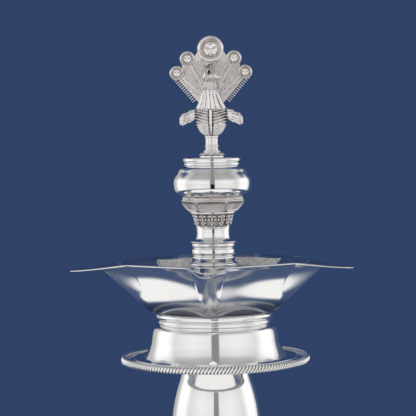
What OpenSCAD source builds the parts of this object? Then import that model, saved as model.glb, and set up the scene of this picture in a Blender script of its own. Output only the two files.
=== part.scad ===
// Standing oil lamp in polished silver, with a five-spout dish and a peacock finial.
// Origin at the centre of the foot's resting face, +Z up, the front spout and the
// peacock's breast along -Y. All lengths in millimetres.

/* [Sheet and joints] */
// Thickness of the spun and raised sheet
sheet = 1.1; // [0.8:0.1:1.5]
// Thickness of the dish's sheet
dish_sheet = 0.9; // [0.6:0.1:1.4]
// Radial clearance of a stud in its threaded bush
run_clear = 0.05; // [0.03:0.01:0.1]
// Radial play of a stud in a ring or a wall that it only passes through
free_clear = 0.3; // [0.2:0.05:0.6]
// Diameter of the two large screw studs
stud_d = 8; // [6:0.5:10]
// Diameter of the column's screw stud
column_stud_d = 6; // [5:0.5:7]
// Diameter of the finial's screw stud
finial_stud_d = 4; // [3:0.5:5]
// Wall of the threaded bushes
bush_wall = 2.2; // [1.5:0.1:3]
// Depth that the two large studs reach into their bushes
stud_depth = 12; // [10:0.5:14]
// Depth that the column's stud reaches into its bush
column_depth = 11; // [9:0.5:13]
// Depth that the finial's stud reaches into its bush
finial_depth = 7; // [6:0.5:8]
// Room below each stud's end in its bush
stud_room = 2; // [1:0.5:3]

/* [Foot] */
// Width of the foot's plate from the rounded step to the rope border
foot_flat_w = 10; // [7:0.5:16]
// Height of the flat ring that the lamp rests on
rest_h = 2.8; // [2:0.1:4]
// Width of the resting ring
rest_w = 4; // [3:0.1:6]
// Distance of the resting ring from the plate's edge
rest_inset = 4; // [3:0.1:6]
// Width of the rounded step outside the bell
cushion_w = 4; // [3:0.1:6]
// Height of the rounded step
cushion_h = 4.8; // [4:0.1:6]
// Diameter of the bell at its lower edge
bell_d = 82; // [74:1:86]
// Height of the bell
bell_h = 25; // [20:0.5:30]
// Diameter of the bell at its neck
bell_neck_d = 21; // [19:0.5:24]
// Diameter of the ring on top of the bell
foot_collar_d = 26; // [24:0.5:30]
// Height of the ring on top of the bell
foot_collar_h = 3.3; // [2.5:0.1:5]
// Diameter of the loose knop between foot and stem
waist_d = 30; // [26:0.5:34]
// Height of the loose knop
waist_h = 5.5; // [4:0.1:8]

/* [Stem] */
// Greatest diameter of the stem
stem_d = 45.4; // [40:0.2:50]
// Diameter of the stem at its top
stem_top_d = 34.2; // [32:0.2:37]
// Diameter of the stem at its lower end
stem_low_d = 20; // [18:0.5:23]
// Height of the stem's shell
stem_h = 53.4; // [46:0.2:60]
// Height of the bead ring under the stem
stem_bead_h = 2.5; // [2:0.1:4]
// Height of the ring between stem and plate
stem_top_h = 5.5; // [4:0.1:7]

/* [Drip plate and drum] */
// Width of the plate from the raised step to the rope border
plate_flat_w = 3.05; // [2:0.05:6]
// Width of the rope border
rope_w = 3.4; // [2.6:0.1:4]
// Height of the rope border
rope_h = 4; // [3.2:0.1:5]
// Depth of the rope border's seat on the plate's edge
rope_seat = 0.5; // [0.3:0.1:0.8]
// Width of the raised step outside the drum
step_w = 5.4; // [4:0.1:8]
// Height of the raised step
step_h = 0.8; // [0.5:0.1:1.2]
// Diameter of the drum where it meets the plate
drum_foot_d = 71.2; // [66:0.2:76]
// Diameter of the drum at its top
drum_d = 56.4; // [52:0.2:60]
// Height of the drum
drum_h = 16.6; // [14:0.1:20]
// Diameter of the thin ring on the drum
drum_ring_d = 57.6; // [54:0.2:62]
// Height of the thin ring on the drum
drum_ring_h = 2.6; // [2:0.1:3.5]
// Diameter of the loose bead ring under the dish
dish_ring_d = 59.6; // [56:0.2:64]
// Height of the loose bead ring
dish_ring_h = 3.5; // [2.5:0.1:5]

/* [Oil dish] */
// Number of spouts
spouts = 5; // [5, 7]
// Distance of a spout's tip from the axis
tip_r = 74; // [68:0.5:80]
// Distance of the keel's upper end from the axis
keel_r = 56; // [52:0.5:60]
// Distance of the keel's lower end from the axis
keel_foot_r = 32; // [29:0.5:33]
// Distance of a spout's root corners, along the spout
root_r = 45; // [42:0.5:48]
// Half width of a spout at its root corners
root_w = 9.4; // [8:0.1:11]
// Half width of a spout at its tip
tip_w = 1.8; // [1.2:0.1:3]
// Height of the rim over the dish's underside
dish_h = 25.8; // [22:0.1:30]
// Width of the turned-out rim
flare_w = 2; // [1:0.1:3]
// Height of the turned-out rim
flare_h = 1.7; // [1:0.1:2.5]
// Drop of the keel's upper end below the rim
keel_drop = 2.8; // [2:0.1:4]
// Drop of the tip below the rim
tip_drop = 2.9; // [1:0.1:5]
// Diameter of the hub where it meets the dish's floor
hub_foot_d = 34; // [30:0.5:38]
// Diameter of the hub at its top
hub_d = 23; // [22:0.2:25]
// Height of the hub's top over the dish's underside
hub_h = 22.5; // [20:0.1:25]

/* [Column] */
// Diameter of the loose flange under the collar
flange_d = 24; // [23:0.2:26]
// Height of the loose flange
flange_h = 2; // [1.5:0.1:3]
// Diameter of the collar
collar_d = 22; // [21:0.2:23.4]
// Height of the collar
collar_h = 10.7; // [9:0.1:13]
// Diameter of the collar's flared lip
lip_d = 23.3; // [22.6:0.1:25]
// Height of the collar's flared lip
lip_h = 0.9; // [0.6:0.1:1.2]
// Depth of the collar's two grooves
groove = 0.7; // [0.4:0.1:0.9]
// Smallest diameter of the neck
neck_d = 16.8; // [15:0.2:18]
// Height of the neck
neck_h = 7.8; // [6:0.1:10]
// Diameter of the leafy capital
leaf_d = 20.4; // [19:0.2:22]
// Height of the leafy capital
leaf_h = 5.8; // [4.5:0.1:8]
// Diameter of the thin disc over the leaves
disc_d = 23.3; // [22:0.1:25]
// Height of the thin disc over the leaves
disc_h = 1.3; // [1:0.1:2]
// Distance across the corners of the six-sided cup
cup_d = 31.4; // [29:0.2:33]
// Height of the six-sided cup
cup_h = 7.4; // [6:0.1:9]
// Greatest diameter of the globe
globe_d = 39.8; // [38:0.2:44]
// Height of the globe
globe_h = 15.5; // [12:0.1:18]
// Diameter of the globe's mouth
mouth_d = 28.8; // [25:0.2:31]
// Height of the ring on the globe's mouth
mouth_h = 1.5; // [1:0.1:3]
// Diameter of the cap
cap_d = 29.7; // [27:0.1:33]
// Height of the cap
cap_h = 2.5; // [2:0.1:4]

/* [Finial] */
// Diameter of the loose washer under the finial
washer_d = 12.4; // [11:0.2:15]
// Thickness of the loose washer
washer_h = 0.8; // [0.6:0.1:1.2]
// Reach of the leaves round the perch
perch_leaf_r = 7.2; // [6:0.1:8]
// Height of the leaves round the perch
perch_leaf_h = 2.8; // [2:0.1:4]
// Diameter of the perch
perch_d = 6.8; // [6.4:0.1:8]
// Height of the perch
perch_h = 7; // [5:0.1:9]
// Greatest width of the peacock's body
bird_w = 16.4; // [14:0.2:18]
// Height of the peacock's body
bird_h = 14.4; // [12.4:0.2:17]
// Depth of the body as a share of its width
bird_depth_share = 0.66; // [0.55:0.01:0.8]
// Height of the neck above the body
bird_neck_h = 13; // [11:0.2:15]
// Height of the head
bird_head_h = 6.4; // [5.4:0.1:7.4]
// Reach of each wing from the axis
wing_r = 15.8; // [14:0.2:18]
// Height where the tail's feathers meet, over the cap
tail_root_h = 26.5; // [25:0.1:29]
// Distance from that point to the middle of the top medallion
tail_top = 27.6; // [24:0.2:31]
// Distance from that point to the middle of the upper side medallions
tail_upper = 25.7; // [23:0.1:28]
// Distance from that point to the middle of the lower side medallions
tail_lower = 23.3; // [21:0.1:25]
// Angle of the upper side feathers from the vertical
upper_angle = 27; // [26:0.5:29]
// Angle of the lower side feathers from the vertical
lower_angle = 47.3; // [46:0.1:51]
// Radius of the top medallion
top_r = 6.6; // [5.6:0.1:7.4]
// Radius of the upper side medallions
upper_r = 3.8; // [3.4:0.1:4.2]
// Radius of the lower side medallions
lower_r = 3.6; // [3.2:0.1:4]
// Thickness of the tail's plate
tail_t = 1.2; // [0.9:0.1:1.6]

/* [Hidden] */

// Facets of a full turn, and steps along one stretch of a drawn curve
turn_fn = 96;
curve_steps = 4;
// Overrun of a cut past the face that it opens
over = 1;

// Radii worked out from the diameters above
stud_r = stud_d / 2;
column_stud_r = column_stud_d / 2;
finial_stud_r = finial_stud_d / 2;
bush_bore_r = stud_r + run_clear;
column_bore_r = column_stud_r + run_clear;
finial_bore_r = finial_stud_r + run_clear;
step_r = drum_foot_d / 2 + step_w;
plate_r = step_r + plate_flat_w + rope_w;
plate_edge_r = plate_r - rope_w + rope_seat;
cushion_r = bell_d / 2 + cushion_w;
foot_edge_r = cushion_r + foot_flat_w;
foot_rope_r = foot_edge_r - rope_seat + rope_w;

// Heights of the seats, from the foot up
foot_plate_z = rest_h;
cushion_z = foot_plate_z + sheet;
bell_z = cushion_z + cushion_h;
foot_collar_z = bell_z + bell_h;
waist_z = foot_collar_z + foot_collar_h;
stem_bead_z = waist_z + waist_h;
stem_z = stem_bead_z + stem_bead_h;
stem_top_z = stem_z + stem_h;
plate_z = stem_top_z + stem_top_h;
step_z = plate_z + sheet;
drum_z = step_z + step_h;
drum_ring_z = drum_z + drum_h;
dish_ring_z = drum_ring_z + drum_ring_h;
dish_z = dish_ring_z + dish_ring_h;
rim_z = dish_z + dish_h;
flange_z = dish_z + hub_h;
collar_z = flange_z + flange_h;
neck_z = collar_z + collar_h;
leaf_z = neck_z + neck_h;
disc_z = leaf_z + leaf_h;
cup_z = disc_z + disc_h;
globe_z = cup_z + cup_h;
mouth_z = globe_z + globe_h;
cap_z = mouth_z + mouth_h;
washer_z = cap_z + cap_h;
leaves_z = washer_z + washer_h;
post_z = leaves_z + perch_leaf_h;
bird_z = post_z + perch_h;
bird_neck_z = bird_z + bird_h;
head_z = bird_neck_z + bird_neck_h;
tail_z = washer_z + tail_root_h;

// Outlines as shares of a piece's own radius and height, from its lower edge up
bell_shares = [[1, 0], [0.86, 0.1], [0.66, 0.24], [0.48, 0.44], [0.34, 0.72]];
stem_shares = [[0.6, 0.07], [0.83, 0.2], [0.965, 0.34], [1, 0.49], [0.965, 0.66], [0.88, 0.82],
    [0.79, 0.94]];
drum_shares = [[1, 0], [0.972, 0.09], [0.94, 0.24], [0.908, 0.48], [0.893, 0.7], [0.866, 0.9]];
globe_low_shares = [[0.66, 0], [0.83, 0.025], [0.92, 0.1], [0.975, 0.22], [1, 0.43]];
globe_top_shares = [[1, 0.43], [0.985, 0.56], [0.94, 0.68], [0.885, 0.79], [0.835, 0.9]];
hub_shares = [[1, 0], [0.82, 0.1], [0.73, 0.35], [0.69, 0.7]];

// A smooth curve through a few points, with curve_steps between neighbours
function blend4(a, b, c, d, t) = 0.5 * (2 * b + (c - a) * t
    + (2 * a - 5 * b + 4 * c - d) * t * t + (3 * b - a - 3 * c + d) * t * t * t);
function smooth(p, n = curve_steps) = let (m = len(p) - 1) concat(
    [for (i = [0:m - 1]) for (j = [0:n - 1])
        blend4(p[max(i - 1, 0)], p[i], p[i + 1], p[min(i + 2, m)], j / n)],
    [p[m]]);

// Shares turned into radii and heights, and the same curve moved in by a wall
function scaled(shares, r, z, h) = [for (s = shares) [s[0] * r, z + s[1] * h]];
function side(a, b) = let (d = b - a) [d[1], -d[0]] / norm(d);
function between(v, low, high) = min(max(v, low), high);
function moved_in(p, w) = let (m = len(p) - 1)
    [for (i = [0:m]) i == 0 || i == m ? p[i] - [w, 0]
        : let (q = p[i] - w * side(p[i - 1], p[i + 1])) [q[0], between(q[1], p[0][1], p[m][1])]];
function backwards(p) = [for (i = [len(p) - 1:-1:0]) p[i]];

// The round outer side of a bead, from its lower edge to its upper edge
bead_steps = 12;
function bead_side(r, z, h, bulge) = [for (i = [0:bead_steps]) let (a = 180 * i / bead_steps)
    [r - bulge + bulge * sin(a), z + h / 2 - h / 2 * cos(a)]];

module spun(points) {
    rotate_extrude($fn = turn_fn) polygon(points);
}

module spun_shell(points, wall) {
    spun(concat(points, backwards(moved_in(points, wall))));
}

module ring(r_out, r_in, z, h) {
    spun([[r_in, z], [r_out, z], [r_out, z + h], [r_in, z + h]]);
}

module bead_ring(r, r_in, z, h, bulge) {
    spun(concat([[r_in, z]], bead_side(r, z, h, bulge), [[r_in, z + h]]));
}

// The rope border's round section, cut flat where it is soldered to a plate's edge
rope_steps = 20;
module rope_ring(seat_r, mid_z) {
    mid_r = seat_r - rope_seat + rope_w / 2;
    seat_angle = acos((rope_seat - rope_w / 2) / (rope_w / 2));
    spun([for (i = [0:rope_steps]) let (a = seat_angle * (2 * i / rope_steps - 1))
        [mid_r + rope_w / 2 * cos(a), mid_z + rope_h / 2 * sin(a)]]);
}

// Foot
rest_r = foot_edge_r - rest_inset;
foot_mid_z = foot_plate_z + sheet / 2;
foot_rope_z = max(foot_mid_z, rope_h / 2 + free_clear);
bell_line = smooth(concat(scaled(bell_shares, bell_d / 2, bell_z, bell_h),
    [[bell_neck_d / 2, foot_collar_z]]));

module foot_rest_ring() {
    color("gainsboro") ring(rest_r, rest_r - rest_w, 0, rest_h);
}

module foot_plate() {
    color("silver") ring(foot_edge_r, cushion_r - rest_w, foot_plate_z, sheet);
}

module foot_rope() {
    color("gainsboro") rope_ring(foot_edge_r, foot_rope_z);
}

module foot_cushion() {
    color("silver") bead_ring(cushion_r, bell_d / 2 - sheet - rest_w / 2, cushion_z,
        cushion_h, cushion_h / 2);
}

module foot_bell() {
    color("silver") spun_shell(bell_line, sheet);
}

module foot_collar() {
    color("gainsboro") bead_ring(foot_collar_d / 2, bush_bore_r + bush_wall, foot_collar_z,
        foot_collar_h, foot_collar_h / 2);
}

module foot_bush() {
    bush_h = stud_depth + stud_room;
    color("darkgray") ring(bush_bore_r + bush_wall, bush_bore_r, waist_z - bush_h, bush_h);
}

// The knop that slides up with the stem
module waist_knop() {
    color("silver") bead_ring(waist_d / 2, stud_r + run_clear, waist_z, waist_h, waist_h / 2);
}

// Stem
stem_r = stem_d / 2;
stem_line = smooth(concat([[stem_low_d / 2, stem_z]],
    scaled(stem_shares, stem_r, stem_z, stem_h), [[stem_top_d / 2, stem_top_z]]));
plug_h = 2 * stem_bead_h;

module stem_bead() {
    color("gainsboro") bead_ring(stem_low_d / 2 + sheet, stud_r, stem_bead_z, stem_bead_h,
        stem_bead_h / 2);
}

module stem_plug() {
    color("darkgray") ring(stem_low_d / 2 - sheet, stud_r, stem_z, plug_h);
}

module stem_stud() {
    low_z = waist_z - stud_depth;
    color("lightsteelblue") translate([0, 0, low_z])
        cylinder(r = stud_r, h = stem_z + plug_h - low_z, $fn = turn_fn);
}

module stem_shell() {
    color("silver") spun_shell(stem_line, sheet);
}

module stem_top_ring() {
    top_r = stem_top_d / 2;
    line = smooth([[top_r, stem_top_z], [top_r - sheet, stem_top_z + stem_top_h / 2],
        [top_r + sheet, plate_z]]);
    color("gainsboro") spun_shell(line, 2 * sheet);
}

// Drip plate and drum
drum_foot_r = drum_foot_d / 2;
drum_line = smooth(concat(scaled(drum_shares, drum_foot_r, drum_z, drum_h),
    [[drum_d / 2, drum_ring_z]]));
drum_seat_r = drum_ring_d / 2 - drum_ring_h;

module drip_plate() {
    color("silver") ring(plate_edge_r, stem_top_d / 2 - 2 * sheet, plate_z, sheet);
}

module plate_rope() {
    color("gainsboro") rope_ring(plate_edge_r, plate_z + sheet / 2);
}

module plate_step() {
    color("gainsboro") bead_ring(step_r, drum_foot_r - 2 * sheet, step_z, step_h, step_h / 2);
}

module drum_shell() {
    color("silver") spun_shell(drum_line, sheet);
}

// A threaded bush on a web that closes the top of the drum
module drum_bush() {
    bush_r = bush_bore_r + bush_wall;
    bush_h = stud_depth + stud_room;
    web_r = drum_d / 2 - 2 * sheet;
    color("darkgray") spun([[bush_bore_r, dish_ring_z - bush_h], [bush_r, dish_ring_z - bush_h],
        [bush_r, drum_ring_z - sheet], [web_r, drum_ring_z - sheet], [web_r, drum_ring_z],
        [bush_r, drum_ring_z], [bush_r, dish_ring_z], [bush_bore_r, dish_ring_z]]);
}

module drum_ring() {
    color("gainsboro") bead_ring(drum_ring_d / 2, drum_seat_r - 2 * sheet, drum_ring_z,
        drum_ring_h, drum_ring_h / 2);
}

// The bead ring that slides up with the dish
module dish_ring() {
    web_h = sheet;
    ring_r = dish_ring_d / 2;
    bore_r = stud_r + run_clear;
    color("gainsboro") spun(concat([[bore_r, dish_z - web_h], [drum_seat_r - sheet, dish_z - web_h],
        [drum_seat_r - sheet, dish_ring_z]],
        bead_side(ring_r, dish_ring_z, dish_ring_h, dish_ring_h / 2), [[bore_r, dish_z]]));
}

module dish_stud() {
    low_z = dish_ring_z - stud_depth;
    color("lightsteelblue") translate([0, 0, low_z])
        cylinder(r = stud_r, h = dish_z - low_z, $fn = turn_fn);
}

// Oil dish. One sheet, described spout by spout: x runs out along the spout, y across it.
// The same points, moved by a height and drawn in, give the sheet's upper face.
spout_pitch = 360 / spouts;
lip_steps = 5;
knee_z = rim_z - flare_h;
corner_r = root_r + flare_w * cos(spout_pitch / 2);
corner_w = root_w + flare_w * sin(spout_pitch / 2);
lip_power = 1.15;
droop_power = 1.6;

// Place across the lip at a share s of the way from the root to the tip
function lip_edge_r(s) = corner_r + (tip_r - tip_w - corner_r) * s;
function lip_mid_r(s) = keel_r + (tip_r - keel_r) * s;
function lip_w(s) = tip_w + (corner_w - tip_w) * pow(1 - s, lip_power);
function lip_edge_z(s) = rim_z - tip_drop * pow(s, droop_power);
function lip_mid_z(s) = lip_edge_z(s) - keel_drop * pow(1 - s, 2);

function spout_points(up) = let (t = up ? 0 : -dish_sheet, in = up ? dish_sheet : 0) concat(
    [[keel_foot_r - in, 0, dish_z + in],
     [keel_r - in, 0, rim_z - keel_drop + t + in],
     [root_r - in, -root_w + in / 2, knee_z - dish_sheet + in / 2],
     [root_r - in, root_w - in / 2, knee_z - dish_sheet + in / 2],
     [corner_r, -corner_w, rim_z + t],
     [corner_r, corner_w, rim_z + t]],
    [for (i = [1:lip_steps]) let (s = i / lip_steps) each [
        [lip_edge_r(s), -lip_w(s), lip_edge_z(s) + t],
        [lip_mid_r(s), 0, lip_mid_z(s) + t],
        [lip_edge_r(s), lip_w(s), lip_edge_z(s) + t]]]);
spout_count = 6 + 3 * lip_steps;
function turned(p, a) = [p[0] * cos(a) - p[1] * sin(a), p[0] * sin(a) + p[1] * cos(a), p[2]];
function spout_angle(k) = -90 + spout_pitch * k;
face_points = spouts * spout_count + 1;
function sheet_points(up) = concat(
    [for (k = [0:spouts - 1]) for (p = spout_points(up)) turned(p, spout_angle(k))],
    [[0, 0, dish_z + (up ? dish_sheet : 0)]]);

// Triangles of the sheet's upper face, for spout k and the wall that follows it
function lip_index(k, i, j) = i == 0 ? k * spout_count + [4, 1, 5][j]
    : k * spout_count + 6 + 3 * (i - 1) + j;
function spout_faces(k) = let (b = k * spout_count, c = ((k + 1) % spouts) * spout_count,
    mid = face_points - 1) concat(
    [[b, b + 1, b + 2], [b, b + 3, b + 1], [b + 2, b + 1, b + 4], [b + 3, b + 5, b + 1],
     [b, c, b + 3], [b + 3, c, c + 2], [b + 3, c + 2, b + 5], [b + 5, c + 2, c + 4],
     [mid, c, b]],
    [for (i = [0:lip_steps - 1]) each [
        [lip_index(k, i, 0), lip_index(k, i, 1), lip_index(k, i + 1, 0)],
        [lip_index(k, i, 1), lip_index(k, i + 1, 1), lip_index(k, i + 1, 0)],
        [lip_index(k, i, 1), lip_index(k, i, 2), lip_index(k, i + 1, 1)],
        [lip_index(k, i, 2), lip_index(k, i + 1, 2), lip_index(k, i + 1, 1)]]]);
function rim_loop(k) = concat([for (i = [0:lip_steps]) lip_index(k, i, 0)],
    [lip_index(k, lip_steps, 1)], [for (i = [lip_steps:-1:0]) lip_index(k, i, 2)]);
whole_rim = [for (k = [0:spouts - 1]) each rim_loop(k)];

module oil_dish() {
    sheet_faces = [for (k = [0:spouts - 1]) each spout_faces(k)];
    m = len(whole_rim);
    color("silver") polyhedron(
        points = concat(sheet_points(true), sheet_points(false)),
        faces = concat(sheet_faces,
            [for (f = sheet_faces) [for (i = [2:-1:0]) f[i] + face_points]],
            [for (i = [0:m - 1]) each let (a = whole_rim[i], b = whole_rim[(i + 1) % m]) [
                [a, b, b + face_points], [a, b + face_points, a + face_points]]]));
}

hub_line = smooth(concat(scaled(hub_shares, hub_foot_d / 2, dish_z + dish_sheet,
    hub_h - dish_sheet), [[hub_d / 2, flange_z]]));
hub_bush_r = column_bore_r + bush_wall;

module dish_hub() {
    color("silver") union() {
        spun_shell(hub_line, sheet);
        ring(hub_d / 2 - sheet / 2, hub_bush_r, flange_z - sheet, sheet);
    }
}

module hub_bush() {
    bush_h = column_depth + stud_room;
    color("darkgray") ring(hub_bush_r, column_bore_r, flange_z - bush_h, bush_h);
}

// The flange that slides up with the column
module column_flange() {
    color("gainsboro") bead_ring(flange_d / 2, column_stud_r + run_clear, flange_z, flange_h,
        flange_h / 2);
}

module column_stud() {
    low_z = flange_z - column_depth;
    color("lightsteelblue") translate([0, 0, low_z])
        cylinder(r = column_stud_r, h = globe_z - low_z, $fn = turn_fn);
}

// Places of the collar's two grooves, and half their height, as shares of its plain height
groove_shares = [0.36, 0.72];
groove_h_share = 0.125;

module collar() {
    r = collar_d / 2;
    bar_h = collar_h - lip_h;
    groove_h = bar_h * groove_h_share;
    groove_z = [for (s = groove_shares) collar_z + bar_h * s];
    color("silver") spun(concat([[column_stud_r, collar_z], [r, collar_z]],
        [for (z = groove_z) each [[r, z - groove_h], [r - groove, z - groove_h / 2],
            [r - groove, z + groove_h / 2], [r, z + groove_h]]],
        [[r, neck_z - lip_h], [lip_d / 2, neck_z - lip_h / 2], [lip_d / 2, neck_z],
         [column_stud_r, neck_z]]));
}

// The neck's outline as shares of the way in from its foot to its waist, and of its height
neck_shares = [[0, 0], [0.64, 0.1], [0.93, 0.28], [1, 0.55], [0.93, 0.82], [0.82, 1]];

module neck() {
    foot_r = lip_d / 2 - groove;
    line = smooth([for (s = neck_shares) [foot_r + (neck_d / 2 - foot_r) * s[0],
        neck_z + s[1] * neck_h]]);
    color("silver") spun(concat([[column_stud_r, neck_z]], line, [[column_stud_r, leaf_z]]));
}

// Twelve-sided core, wider at its top, with a pointed leaf soldered on each side
leaves = 12;
leaf_t = groove;
leaf_r = leaf_d / 2;
leaf_low_share = 0.86;
core_top_r = leaf_r - leaf_t;
core_low_r = core_top_r * leaf_low_share;

module leaf_core() {
    color("gainsboro") difference() {
        translate([0, 0, leaf_z]) cylinder(r1 = core_low_r, r2 = core_top_r, h = leaf_h,
            $fn = leaves);
        translate([0, 0, leaf_z - over]) cylinder(r = column_stud_r + free_clear,
            h = leaf_h + 2 * over, $fn = turn_fn);
    }
}

// Leaf outline as shares of half its width and of its length, from the point up
leaf_outline_shares = [[0, 0.04], [0.45, 0.16], [0.82, 0.42], [0.92, 0.68], [0.8, 0.96]];

module capital_leaves() {
    low_a = core_low_r * cos(180 / leaves);
    top_a = core_top_r * cos(180 / leaves);
    lean = atan((top_a - low_a) / leaf_h);
    len = leaf_h / cos(lean);
    half = core_top_r * sin(180 / leaves);
    right = [for (p = leaf_outline_shares) [p[0] * half, p[1] * len]];
    left = [for (p = backwards(leaf_outline_shares)) [-p[0] * half, p[1] * len]];
    color("gainsboro") for (i = [0:leaves - 1]) rotate([0, 0, 360 / leaves * (i + 0.5)])
        translate([0, -low_a, leaf_z]) rotate([90 + lean, 0, 0])
        linear_extrude(height = leaf_t) polygon(concat(right, left));
}

module capital_disc() {
    color("silver") bead_ring(disc_d / 2, column_stud_r, disc_z, disc_h, disc_h / 2);
}

// Six-sided cup, its corners to the left and right of the front
cup_sides = 6;
cup_r = cup_d / 2;
cup_low_r = disc_d / 2;
cup_band_share = 0.3;
band_h = cup_h * cup_band_share;
petal_h = cup_h - band_h;
cup_low_a = cup_low_r * cos(180 / cup_sides);
cup_a = cup_r * cos(180 / cup_sides);
cup_wall = 2 * sheet;

module capital_cup() {
    color("silver") difference() {
        translate([0, 0, cup_z]) {
            cylinder(r1 = cup_low_r, r2 = cup_r, h = petal_h, $fn = cup_sides);
            translate([0, 0, petal_h]) cylinder(r = cup_r, h = band_h, $fn = cup_sides);
        }
        translate([0, 0, cup_z - over]) cylinder(r = column_stud_r + free_clear,
            h = cup_h + over, $fn = turn_fn);
        translate([0, 0, cup_z + sheet]) cylinder(r1 = cup_low_r - cup_wall,
            r2 = cup_r - cup_wall, h = cup_h, $fn = cup_sides);
    }
}

// One raised panel on each face of the cup. Half its outline, as shares of the half width
// there and of the panel's length, from its lower edge up: a round-cornered shield.
panel_shares = [[0.62, 0.08], [0.8, 0.14], [0.9, 0.26], [0.93, 0.4], [0.95, 0.92]];

module capital_petals() {
    lean = atan((cup_a - cup_low_a) / petal_h);
    len = petal_h / cos(lean);
    function half_w(s) = (cup_low_r + (cup_r - cup_low_r) * s) * sin(180 / cup_sides);
    right = [for (p = panel_shares) [p[0] * half_w(p[1]), p[1] * len]];
    left = [for (p = backwards(right)) [-p[0], p[1]]];
    color("gainsboro") for (i = [0:cup_sides - 1]) rotate([0, 0, 360 / cup_sides * i])
        translate([0, -cup_low_a, cup_z]) rotate([90 + lean, 0, 0])
        linear_extrude(height = groove) polygon(concat(right, left));
}

// A four-sided pointed stud on the band over each panel
bud_w = band_h * 1.3;
bud_out = groove * 1.4;

module capital_buds() {
    color("gainsboro") for (i = [0:cup_sides - 1]) rotate([0, 0, 360 / cup_sides * i])
        translate([0, -cup_a, globe_z - band_h / 2]) rotate([90, 0, 0])
        cylinder(r1 = bud_w / 2, r2 = bud_w / 8, h = bud_out, $fn = 4);
}

globe_low_line = smooth(scaled(globe_low_shares, globe_d / 2, globe_z, globe_h));
globe_top_line = smooth(concat(scaled(globe_top_shares, globe_d / 2, globe_z, globe_h),
    [[mouth_d / 2, mouth_z]]));

module globe_lower() {
    low_r = globe_low_line[0][0];
    color("silver") union() {
        spun_shell(globe_low_line, sheet);
        ring(low_r - sheet / 2, 0, globe_z, sheet);
    }
}

module globe_upper() {
    color("silver") spun_shell(globe_top_line, sheet);
}

module globe_mouth() {
    color("gainsboro") bead_ring(mouth_d / 2, mouth_d / 2 - 2 * sheet, mouth_z, mouth_h,
        mouth_h / 3);
}

module cap_disc() {
    color("silver") bead_ring(cap_d / 2, finial_bore_r + bush_wall, cap_z, cap_h, cap_h / 3);
}

module cap_bush() {
    bush_h = finial_depth + stud_room;
    color("darkgray") ring(finial_bore_r + bush_wall, finial_bore_r, washer_z - bush_h, bush_h);
}

// The washer that slides up with the finial
module finial_washer() {
    color("gainsboro") ring(washer_d / 2, finial_stud_r + run_clear, washer_z, washer_h);
}

module finial_stud() {
    low_z = washer_z - finial_depth;
    color("lightsteelblue") translate([0, 0, low_z])
        cylinder(r = finial_stud_r, h = post_z - low_z, $fn = turn_fn);
}

// Perch: a star of small leaves under a cone, and a round post
perch_r = perch_d / 2;
perch_points = 8;
star_h = perch_leaf_h / 4;
star_in_r = perch_r * 1.4;

module perch_leaves() {
    star = [for (i = [0:2 * perch_points - 1]) let (a = 180 / perch_points * i)
        (i % 2 == 0 ? star_in_r : perch_leaf_r) * [sin(a), cos(a)]];
    color("gainsboro") difference() {
        translate([0, 0, leaves_z]) {
            linear_extrude(height = star_h) polygon(star);
            translate([0, 0, star_h]) cylinder(r1 = star_in_r, r2 = perch_r,
                h = perch_leaf_h - star_h, $fn = turn_fn);
        }
        translate([0, 0, leaves_z - over]) cylinder(r = finial_stud_r,
            h = perch_leaf_h + 2 * over, $fn = turn_fn);
    }
}

// The post is a little waisted
post_waist_share = 0.97;

module perch_post() {
    line = smooth([[perch_r, post_z], [perch_r * post_waist_share, post_z + perch_h / 2],
        [perch_r, bird_z]]);
    color("gainsboro") spun(concat([[0, post_z]], line, [[0, bird_z]]));
}

// Peacock. Closed forms are lofted through rings of points, and each ring is given by its
// middle and by its two half axes.
ring_sides = 16;
loft_steps = 2;

module lofted(rings) {
    n = len(rings);
    color("gainsboro") polyhedron(
        points = [for (s = rings) for (i = [0:ring_sides - 1]) let (a = 360 * i / ring_sides)
            s[0] + s[1] * cos(a) + s[2] * sin(a)],
        faces = concat([[for (i = [0:ring_sides - 1]) i]],
            [for (k = [0:n - 2]) for (i = [0:ring_sides - 1])
                let (a = k * ring_sides + i, b = k * ring_sides + (i + 1) % ring_sides)
                each [[a, a + ring_sides, b], [b, a + ring_sides, b + ring_sides]]],
            [[for (i = [ring_sides - 1:-1:0]) (n - 1) * ring_sides + i]]));
}

// A level ring: middle's x and y, height, half width, half depth
function level(x, y, z, w, d) = [[x, y, z], [w, 0, 0], [0, d, 0]];

bird_r = bird_w / 2;
bird_deep = bird_r * bird_depth_share;

// Body, from the post up: forward and half width as shares of the body's half width,
// up as a share of its height, half depth as a share of its own half depth
body_shares = [[0, 0.41, 0, 0.62], [0, 0.58, 0.15, 0.76], [0.03, 0.82, 0.36, 0.94],
    [0.06, 0.96, 0.56, 1], [0.1, 1, 0.78, 1], [0.14, 0.97, 0.92, 0.94], [0.17, 0.9, 1, 0.84]];

module peacock_body() {
    lofted([for (s = smooth(body_shares, loft_steps)) level(0, -s[0] * bird_r,
        bird_z + s[2] * bird_h, s[1] * bird_r, s[3] * bird_deep)]);
}

// Neck: sideways, forward, half width and half depth as shares of the body's half width,
// up as a share of the neck's height
neck_ring_shares = [[0, 0.18, 0.86, 0.46, 0], [-0.02, 0.26, 0.66, 0.43, 0.25],
    [-0.04, 0.33, 0.52, 0.39, 0.5], [-0.05, 0.38, 0.44, 0.35, 0.75], [-0.05, 0.4, 0.4, 0.32, 1]];

module peacock_neck() {
    lofted([for (s = smooth(neck_ring_shares, loft_steps)) level(s[0] * bird_r, -s[1] * bird_r,
        bird_neck_z + s[4] * bird_neck_h, s[2] * bird_r, s[3] * bird_r)]);
}

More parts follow.
